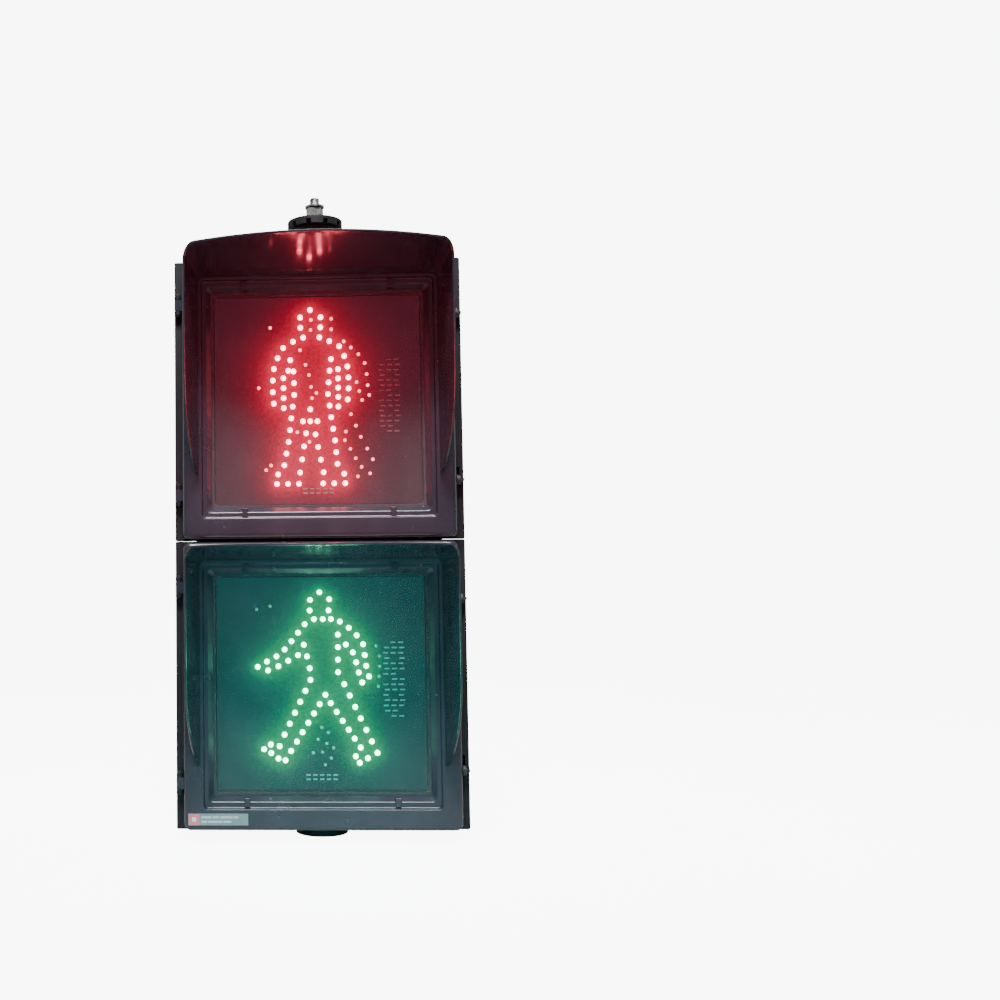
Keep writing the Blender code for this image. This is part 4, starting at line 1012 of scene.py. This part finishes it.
def dome_mesh(places, centre_z, radius=LED_RADIUS, height=LED_HEIGHT):
    """Epoxy LED bodies: a short cylinder with a round front, one for each place."""
    sides, arcs = 14, 5
    straight = height - radius
    outline = [(radius, -0.2 * MM), (radius, straight)]
    for step in range(1, arcs):
        angle = math.radians(90) * step / arcs
        outline.append((radius * math.cos(angle), straight + radius * math.sin(angle)))
    built = bmesh.new()
    for flat_x, flat_z in places:
        x, z = flat_x * MM, centre_z + flat_z * MM
        rings = []
        for reach, forward in outline:
            ring = [(x + reach * a, CARRIER_FRONT - forward, z + reach * b) for a, b in circle(sides, 0)]
            rings.append([built.verts.new(place) for place in ring])
        span(built, rings)
        tip = built.verts.new((x, CARRIER_FRONT - height, z))
        last = rings[-1]
        for side in range(sides):
            built.faces.new((last[side], last[(side + 1) % sides], tip))
        built.faces.new(list(reversed(rings[0])))
    return finished("domes", built)


def glow_at(points, places, centre_z):
    """How much of the LEDs' spilled light is painted on each point of the carrier's face, from 0 to 1."""
    lit = np.array([(x * MM, centre_z + z * MM) for x, z in places])
    offsets = points[:, None, :] - lit[None, :, :]
    distance = np.sqrt((offsets**2).sum(axis=2))
    dark = np.ones(len(points))
    for strength, reach in ((0.6, 9 * MM), (0.10, 24 * MM), (0.018, 48 * MM)):
        dark *= np.prod(1 - strength * np.exp(-((distance / reach) ** 2)), axis=1)
    return 1 - dark


def make_carrier(section, places):
    """The plate that holds the LEDs, with a fine front face that carries the painted spill of the LEDs'
    light.
    """
    centre_z = CENTRES[section]
    low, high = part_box(f"{section}_led_carrier")
    divisions = 84
    built = bmesh.new()
    bmesh.ops.create_grid(built, x_segments=divisions, y_segments=divisions, size=1)
    for vertex in built.verts:
        x, z = vertex.co.x * CARRIER_HALF[0], vertex.co.y * CARRIER_HALF[1]
        vertex.co = (x, low.y, centre_z + z)
    front = list(built.faces)
    extruded = bmesh.ops.extrude_face_region(built, geom=front)["geom"]
    for element in extruded:
        if isinstance(element, bmesh.types.BMVert):
            element.co.y = high.y
    mesh = finished("led_plate", built)
    flat = np.empty(len(mesh.vertices) * 3)
    mesh.vertices.foreach_get("co", flat)
    points = flat.reshape(-1, 3)[:, [0, 2]]
    # Painted light: the glow mask that the board's emission paints
    glow = mesh.attributes.new("glow", "FLOAT", "POINT")
    glow.data.foreach_set("value", glow_at(points, places, centre_z).astype(np.float32))
    tone = TONES[section]
    door_piece(section, "led_plate", mesh, f"{tone}_board", f"{tone}_circuit_board", "led_carrier")


def make_marks(section):
    """Small parts soldered beside the figure: three columns of resistors and a group under it. Their tint,
    red on the upper board and green on the lower, is painted light of that section's LEDs.
    """
    spots = []
    for row in range(15):
        for column, x in enumerate((77, 86, 95)):
            if (row * 3 + column * 5) % 7 != 0:
                spots.append((x + (row % 2) * 1.5, 48 - 6.2 * row, 3.0, 0.9))
    for column in range(5):
        spots.append((-16 + 8 * column, -108, 2.6, 1.0))
        spots.append((-16 + 8 * column, -113, 2.6, 1.0))
    front, back = CARRIER_FRONT - 0.7 * MM, CARRIER_FRONT + 0.1 * MM
    shapes = []
    for x, z, half_x, half_z in spots:
        height = CENTRES[section] + z * MM
        shapes.append(block_about("mark", x * MM, height, half_x * MM, half_z * MM, front, back))
    mesh = one_material(joined("marks", shapes))
    tone = TONES[section]
    marks = door_piece(section, "resistors", mesh, f"{tone}_marks", f"{tone}_circuit_board")
    bevelled(marks, 0.2 * MM, 1)


def make_leds(section):
    lit = standing_figure() if section == "upper" else walking_figure()
    dim = dim_red_places() if section == "upper" else dim_green_places()
    tone = TONES[section]
    centre_z = CENTRES[section]
    door_piece(section, "leds", dome_mesh(lit, centre_z), f"{tone}_led", f"{tone}_leds")
    small_domes = dome_mesh(dim, centre_z, 2 * MM, 3.6 * MM)
    door_piece(section, "dim_leds", small_domes, f"{tone}_led_dim", f"{tone}_leds")
    make_carrier(section, lit)
    make_marks(section)


# ---------------------------------------------------------------- rod, cap, boss and wiring


def hex_reach(across_flats, angle):
    return across_flats / 2 / math.cos(angle % (math.tau / 6) - math.tau / 12)


def nut_mesh(bottom, top, turn):
    """A hexagonal nut whose corners are cut by a cone at both ends, as on a real one."""
    sides, levels = 96, 7
    chamfer = 1.5 * MM
    slope = math.tan(math.radians(60))
    reach_limit = NUT_ACROSS_FLATS / 2 * 0.97
    rises = [chamfer * step / (levels - 1) for step in range(levels)]
    heights = [(bottom + rise, rise) for rise in rises]
    heights += [(top - rise, rise) for rise in reversed(rises)]
    rings = [[(NUT_BORE * a, NUT_BORE * b, bottom) for a, b in circle(sides, 0)]]
    for z, rise in heights:
        ring = []
        for angle in angles(sides):
            reach = min(hex_reach(NUT_ACROSS_FLATS, angle), reach_limit + rise * slope)
            ring.append((reach * math.cos(angle + turn), reach * math.sin(angle + turn), z))
        rings.append(ring)
    rings.append([(NUT_BORE * a, NUT_BORE * b, top) for a, b in circle(sides, 0)])
    return skinned("nut", rings, True)


def rod_mesh(bottom, top):
    """A rod with a helical thread and chamfered ends."""
    sides = 36
    levels = round((top - bottom) / (THREAD_PITCH / 5))
    rings = []
    for level in range(levels + 1):
        z = bottom + (top - bottom) * level / levels
        chamfer = max(0.0, 1 * MM - min(z - bottom, top - z))
        ring = []
        for angle in angles(sides):
            wave = abs(((z / THREAD_PITCH - angle / math.tau) % 1) * 2 - 1)
            reach = ROD_RADIUS - THREAD_DEPTH * wave - chamfer
            ring.append((reach * math.cos(angle), reach * math.sin(angle), z))
        rings.append(ring)
    return skinned("rod", rings)


def split_washer(inner, outer, bottom, top):
    """A spring washer: one turn with a slanted gap, its ends a little apart in height."""
    steps = 90
    thick = (top - bottom) * 0.8
    rise = (top - bottom) - thick
    rings = []
    for step in range(steps + 1):
        share = step / steps
        angle = math.radians(6) + share * math.radians(350) - math.pi / 2.4
        x, y = math.cos(angle), math.sin(angle)
        low = bottom + rise * share
        across = [(outer, low), (outer, low + thick), (inner, low + thick), (inner, low)]
        rings.append([(radius * x, radius * y, z) for radius, z in across])
    return skinned("spring", rings)


def cap_mesh():
    """The clamp cap, with slots in the lower edge of its rim."""
    bottom, top = CAP_LOW.z, CAP_HIGH.z
    corners = [
        (6.8 * MM, bottom, 0.3 * MM),
        (CAP_RADIUS, bottom, 0.5 * MM),
        (CAP_RADIUS, top, 1.3 * MM),
        (CAP_RADIUS - 9 * MM, top, 0.6 * MM),
        (CAP_RADIUS - 9.6 * MM, top - 0.8 * MM, 0.4 * MM),
        (16.5 * MM, top - 0.8 * MM, 0.4 * MM),
        (15.9 * MM, top, 0.4 * MM),
        (6.8 * MM, top, 0.3 * MM),
    ]
    mesh = turned("clamp_cap_disc", corners, True)
    cutters = []
    for step in range(CAP_SLOTS):
        angle = CAP_TURN + math.tau * (step + 0.5) / CAP_SLOTS - math.pi / 2
        low = (CAP_RADIUS - 5 * MM, -3 * MM, bottom - 1 * MM)
        cutter = block("slot", low, (CAP_RADIUS + 2 * MM, 3 * MM, bottom + 6 * MM))
        cutter.transform(Matrix.Rotation(angle, 4, "Z"))
        cutters.append(cutter)
    return carved(mesh, cutters)


def make_top():
    """Neck, clamp cap, threaded rod, and the nuts and washers at both of its ends."""
    neck_base = NECK_SEAL_TOP + GAP
    neck_top = CAP_LOW.z - GAP
    neck = [
        (6.8 * MM, neck_base, 0.3 * MM),
        (40 * MM, neck_base, 0.6 * MM),
        (40 * MM, neck_base + 4 * MM, 1.5 * MM),
        (30 * MM, neck_base + 9 * MM, 4 * MM),
        (25 * MM, neck_top - 9.7 * MM, 3 * MM),
        (27 * MM, neck_top, 0.6 * MM),
        (6.8 * MM, neck_top, 0.3 * MM),
    ]
    fixed_piece("neck_turning", turned("neck", neck, True), "housing_plastic", "top_neck")
    fixed_piece("clamp_cap_disc", cap_mesh(), "housing_plastic", "clamp_cap")
    for node, outer in (("top_plain_washer", 15), ("bracket_washer", 12), ("bottom_washer", 15)):
        low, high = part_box(node)
        fixed_piece(f"{node}_ring", washer_mesh(NUT_BORE, outer * MM, low.z, high.z), "zinc_steel", node)
    low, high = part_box("top_lock_washer")
    spring = split_washer(NUT_BORE, 10.5 * MM, low.z, high.z)
    bevelled(fixed_piece("spring_washer", spring, "zinc_steel", "top_lock_washer"), 0.2 * MM)
    for node, turn in (("top_nut", math.radians(12)), ("bottom_nut", 0.0)):
        low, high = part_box(node)
        fixed_piece(f"{node}_hex", nut_mesh(low.z, high.z, turn), "zinc_steel", node)
    low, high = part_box("tie_rod")
    fixed_piece("threaded_rod", rod_mesh(low.z, high.z), "zinc_steel", "tie_rod")


def make_boss():
    """The round boss below, with four screw holes in its face."""
    low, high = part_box("bottom_boss")
    corners = [
        (0.5 * MM, low.z, 0),
        (BOSS_RADIUS, low.z, 1 * MM),
        (BOSS_RADIUS, high.z, 0.5 * MM),
        (6.6 * MM, high.z, 0.3 * MM),
        (6.6 * MM, 3.5 * MM, 0.3 * MM),
        (0.5 * MM, 3.5 * MM, 0),
    ]
    mesh = turned("boss", corners, False)
    holes = []
    for step in range(4):
        angle = math.radians(45 + 90 * step)
        centre = (22 * MM * math.cos(angle), 22 * MM * math.sin(angle), 0)
        bore = [(2.6 * MM, -1 * MM, 0), (2.6 * MM, 7 * MM, 0)]
        holes.append(turned("hole", bore, False, centre, sides=32))
    fixed_piece("mounting_boss", carved(mesh, holes), "housing_plastic", "bottom_boss")


def make_inside():
    """Coupling and terminal blocks, which show when a door is open."""
    bush_low, bush_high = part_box("coupling_bush")
    bush_flange = bush_low.z + 5 * MM
    bush = [
        (20 * MM, bush_low.z, 0.5 * MM),
        (31 * MM, bush_low.z, 0.8 * MM),
        (31 * MM, bush_flange, 0.8 * MM),
        (24.6 * MM, bush_flange, 0.3 * MM),
        (24.6 * MM, bush_high.z, 0.8 * MM),
        (20 * MM, bush_high.z, 0.5 * MM),
    ]
    fixed_piece("coupling_sleeve", turned("bush", bush, True), "matt_plastic", "coupling_bush")
    low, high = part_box("coupling_ring_nut")
    ring = washer_mesh(25.2 * MM, 31 * MM, low.z, high.z, 0.8 * MM)
    fixed_piece("coupling_ring", ring, "matt_plastic", "coupling_ring_nut")
    for section in SECTIONS:
        make_terminals(section)


def make_terminals(section):
    """A block with five clamp slots, wire entries above and below them, and a slotted screw in each slot."""
    low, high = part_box(f"{section}_terminal_block")
    mid_x, mid_z = (low.x + high.x) / 2, (low.z + high.z) / 2
    cutters, screws = [], []
    head = [(0.3 * MM, 0, 0), (2.4 * MM, 0, 0), (2.4 * MM, 1.5 * MM, 0.5 * MM), (0.3 * MM, 1.5 * MM, 0)]
    for column in range(5):
        x = mid_x + (column - 2) * 10 * MM
        cutters.append(block_about("slot", x, mid_z, 3 * MM, 6 * MM, low.y - 1 * MM, low.y + 6 * MM))
        for z in (mid_z - 12 * MM, mid_z + 12 * MM):
            cutters.append(block_about("entry", x, z, 2 * MM, 7 * MM, low.y + 7 * MM, low.y + 12 * MM))
        notch = block("notch", (-0.4 * MM, -3 * MM, 0.9 * MM), (0.4 * MM, 3 * MM, 2 * MM))
        screw = carved(turned("screw", head, False, sides=24), [notch])
        place = Matrix.Translation((x, low.y + 5.9 * MM, mid_z))
        screw.transform(place @ Matrix.Rotation(math.radians(90), 4, "X"))
        screws.append(screw)
    mesh = carved(block("terminals", low, high), cutters)
    blocks = fixed_piece(f"{section}_terminals", mesh, "terminal_plastic", f"{section}_terminal_block")
    bevelled(blocks, 0.4 * MM, 1)
    fixed_piece(f"{section}_terminal_screws", one_material(joined("screws", screws)), "zinc_steel")


def dress_cad_nodes():
    """Materials for the CAD nodes whose own shape is shown."""
    looks = {"wiring_loom": "cable_sheath"}
    for node in ("neck_seal", "boss_seal", "section_seal", "cable_grommet"):
        looks[node] = "rubber"
    for section in SECTIONS:
        for node, look in (
            ("door_seal", "rubber"),
            ("lens_seal", "rubber"),
            ("driver_board", "driver_board"),
            ("led_board", "driver_board"),
        ):
            looks[f"{section}_{node}"] = look
    for name, look in looks.items():
        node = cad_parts[name]
        if not node.data.materials:
            node.data.materials.append(LOOKS[look])
        for slot in node.material_slots:
            slot.material = LOOKS[look]


# ---------------------------------------------------------------- stage


def seen_directly(tree, dim, bright):
    """A strength that is bright where the camera sees the surface itself and dim in its reflections."""
    path = tree.nodes.new("ShaderNodeLightPath")
    strength = tree.nodes.new("ShaderNodeMapRange")
    strength.inputs["To Min"].default_value = dim
    strength.inputs["To Max"].default_value = bright
    tree.links.new(path.outputs["Is Camera Ray"], strength.inputs["Value"])
    return strength.outputs["Result"]


def make_floor():
    """A pale floor that reaches the horizon."""
    made = Surface("studio_floor", Roughness=0.7)
    clouds = made.noise(2.5, detail=3)
    made.feed("Base Color", made.ramp(clouds, (0.3, (0.42, 0.42, 0.42)), (0.7, (0.46, 0.46, 0.46))))
    made.bump(made.noise(120, detail=2), 0.1 * MM, 0.2)
    made.feed("Emission Color", made.ramp(clouds, (0.3, (0.91, 0.92, 0.94)), (0.7, (0.93, 0.94, 0.96))))
    made.feed("Emission Strength", seen_directly(made.tree, 0.06, BACKDROP_STRENGTH))
    reach = 60.0
    corners = [(x * reach, y * reach, 0) for x, y in ((-1, -1), (1, -1), (1, 1), (-1, 1))]
    mesh = bpy.data.meshes.new("studio_floor")
    mesh.from_pydata(corners, [], [(0, 1, 2, 3)])
    mesh.materials.append(made.material)
    floor = bpy.data.objects.new("studio_floor", mesh)
    bpy.context.scene.collection.objects.link(floor)


def make_light(name, place, aim, size, power, colour=(1, 1, 1), spread=180):
    light = bpy.data.lights.new(name, "AREA")
    light.shape = "RECTANGLE"
    light.size, light.size_y = size
    light.energy = power
    light.color = colour
    light.spread = math.radians(spread)
    obj = bpy.data.objects.new(name, light)
    obj.location = place
    obj.rotation_mode = "QUATERNION"
    obj.rotation_quaternion = (Vector(aim) - Vector(place)).to_track_quat("-Z", "Y")
    obj.visible_camera = False
    bpy.context.scene.collection.objects.link(obj)
    return obj


def make_stage():
    make_floor()
    make_light("key_light", (-0.1, -1.7, 3.0), (0, 0, 0.55), (1.4, 0.8), 21, spread=40)
    for name, x in (("left_light", -1.9), ("right_light", 1.9)):
        make_light(name, (x, 0.3, 0.7), (0, 0, 0.4), (1.0, 1.2), 6.5)
    make_light("back_light", (0.3, 2.2, 1.8), (0, 0, 0.4), (1.6, 1.0), 24)
    for section, colour, power in (("upper", (1.0, 0.07, 0.14), 1.25), ("lower", (0.02, 0.85, 0.80), 1.05)):
        z = CENTRES[section]
        spill = make_light(f"{section}_spill", (0, -0.42, z), (0, 0, z), (0.3, 0.3), power, colour, 90)
        spill.visible_glossy = False
    world = bpy.data.worlds.new("studio")
    world.use_nodes = True
    background = world.node_tree.nodes["Background"]
    background.inputs["Color"].default_value = (0.92, 0.93, 0.95, 1)
    strength = seen_directly(world.node_tree, 0.11, BACKDROP_STRENGTH)
    world.node_tree.links.new(strength, background.inputs["Strength"])
    bpy.context.scene.world = world


def make_camera():
    """A view from a little left of the head's middle, low and turned up slightly."""
    camera = bpy.data.cameras.new("camera")
    camera.sensor_width = 36
    camera.lens = 43.6
    camera.shift_x = 0.2612
    camera.shift_y = -0.0043
    obj = bpy.data.objects.new("camera", camera)
    bpy.context.scene.collection.objects.link(obj)
    obj.location = (-0.0291, -1.4959, 0.31)
    yaw, pitch, roll = (math.radians(turn) for turn in (2.64, 3.8, 0.45))
    aim = Matrix.Rotation(yaw, 4, "Z") @ Matrix.Rotation(math.radians(90) + pitch, 4, "X")
    obj.rotation_mode = "QUATERNION"
    obj.rotation_quaternion = (aim @ Matrix.Rotation(-roll, 4, "Z")).to_quaternion()
    bpy.context.scene.camera = obj


def build():
    for section in SECTIONS:
        make_housing(section)
        make_hinge_pins(section)
        make_door_frame(section)
        make_visor(section)
        make_clips(section)
        make_lens(section)
        make_tray(section)
        make_leds(section)
        for end in LATCH_HEIGHTS:
            make_latch(section, end)
    make_label()
    make_top()
    make_boss()
    make_inside()
    dress_cad_nodes()
    make_stage()
    make_camera()


build()
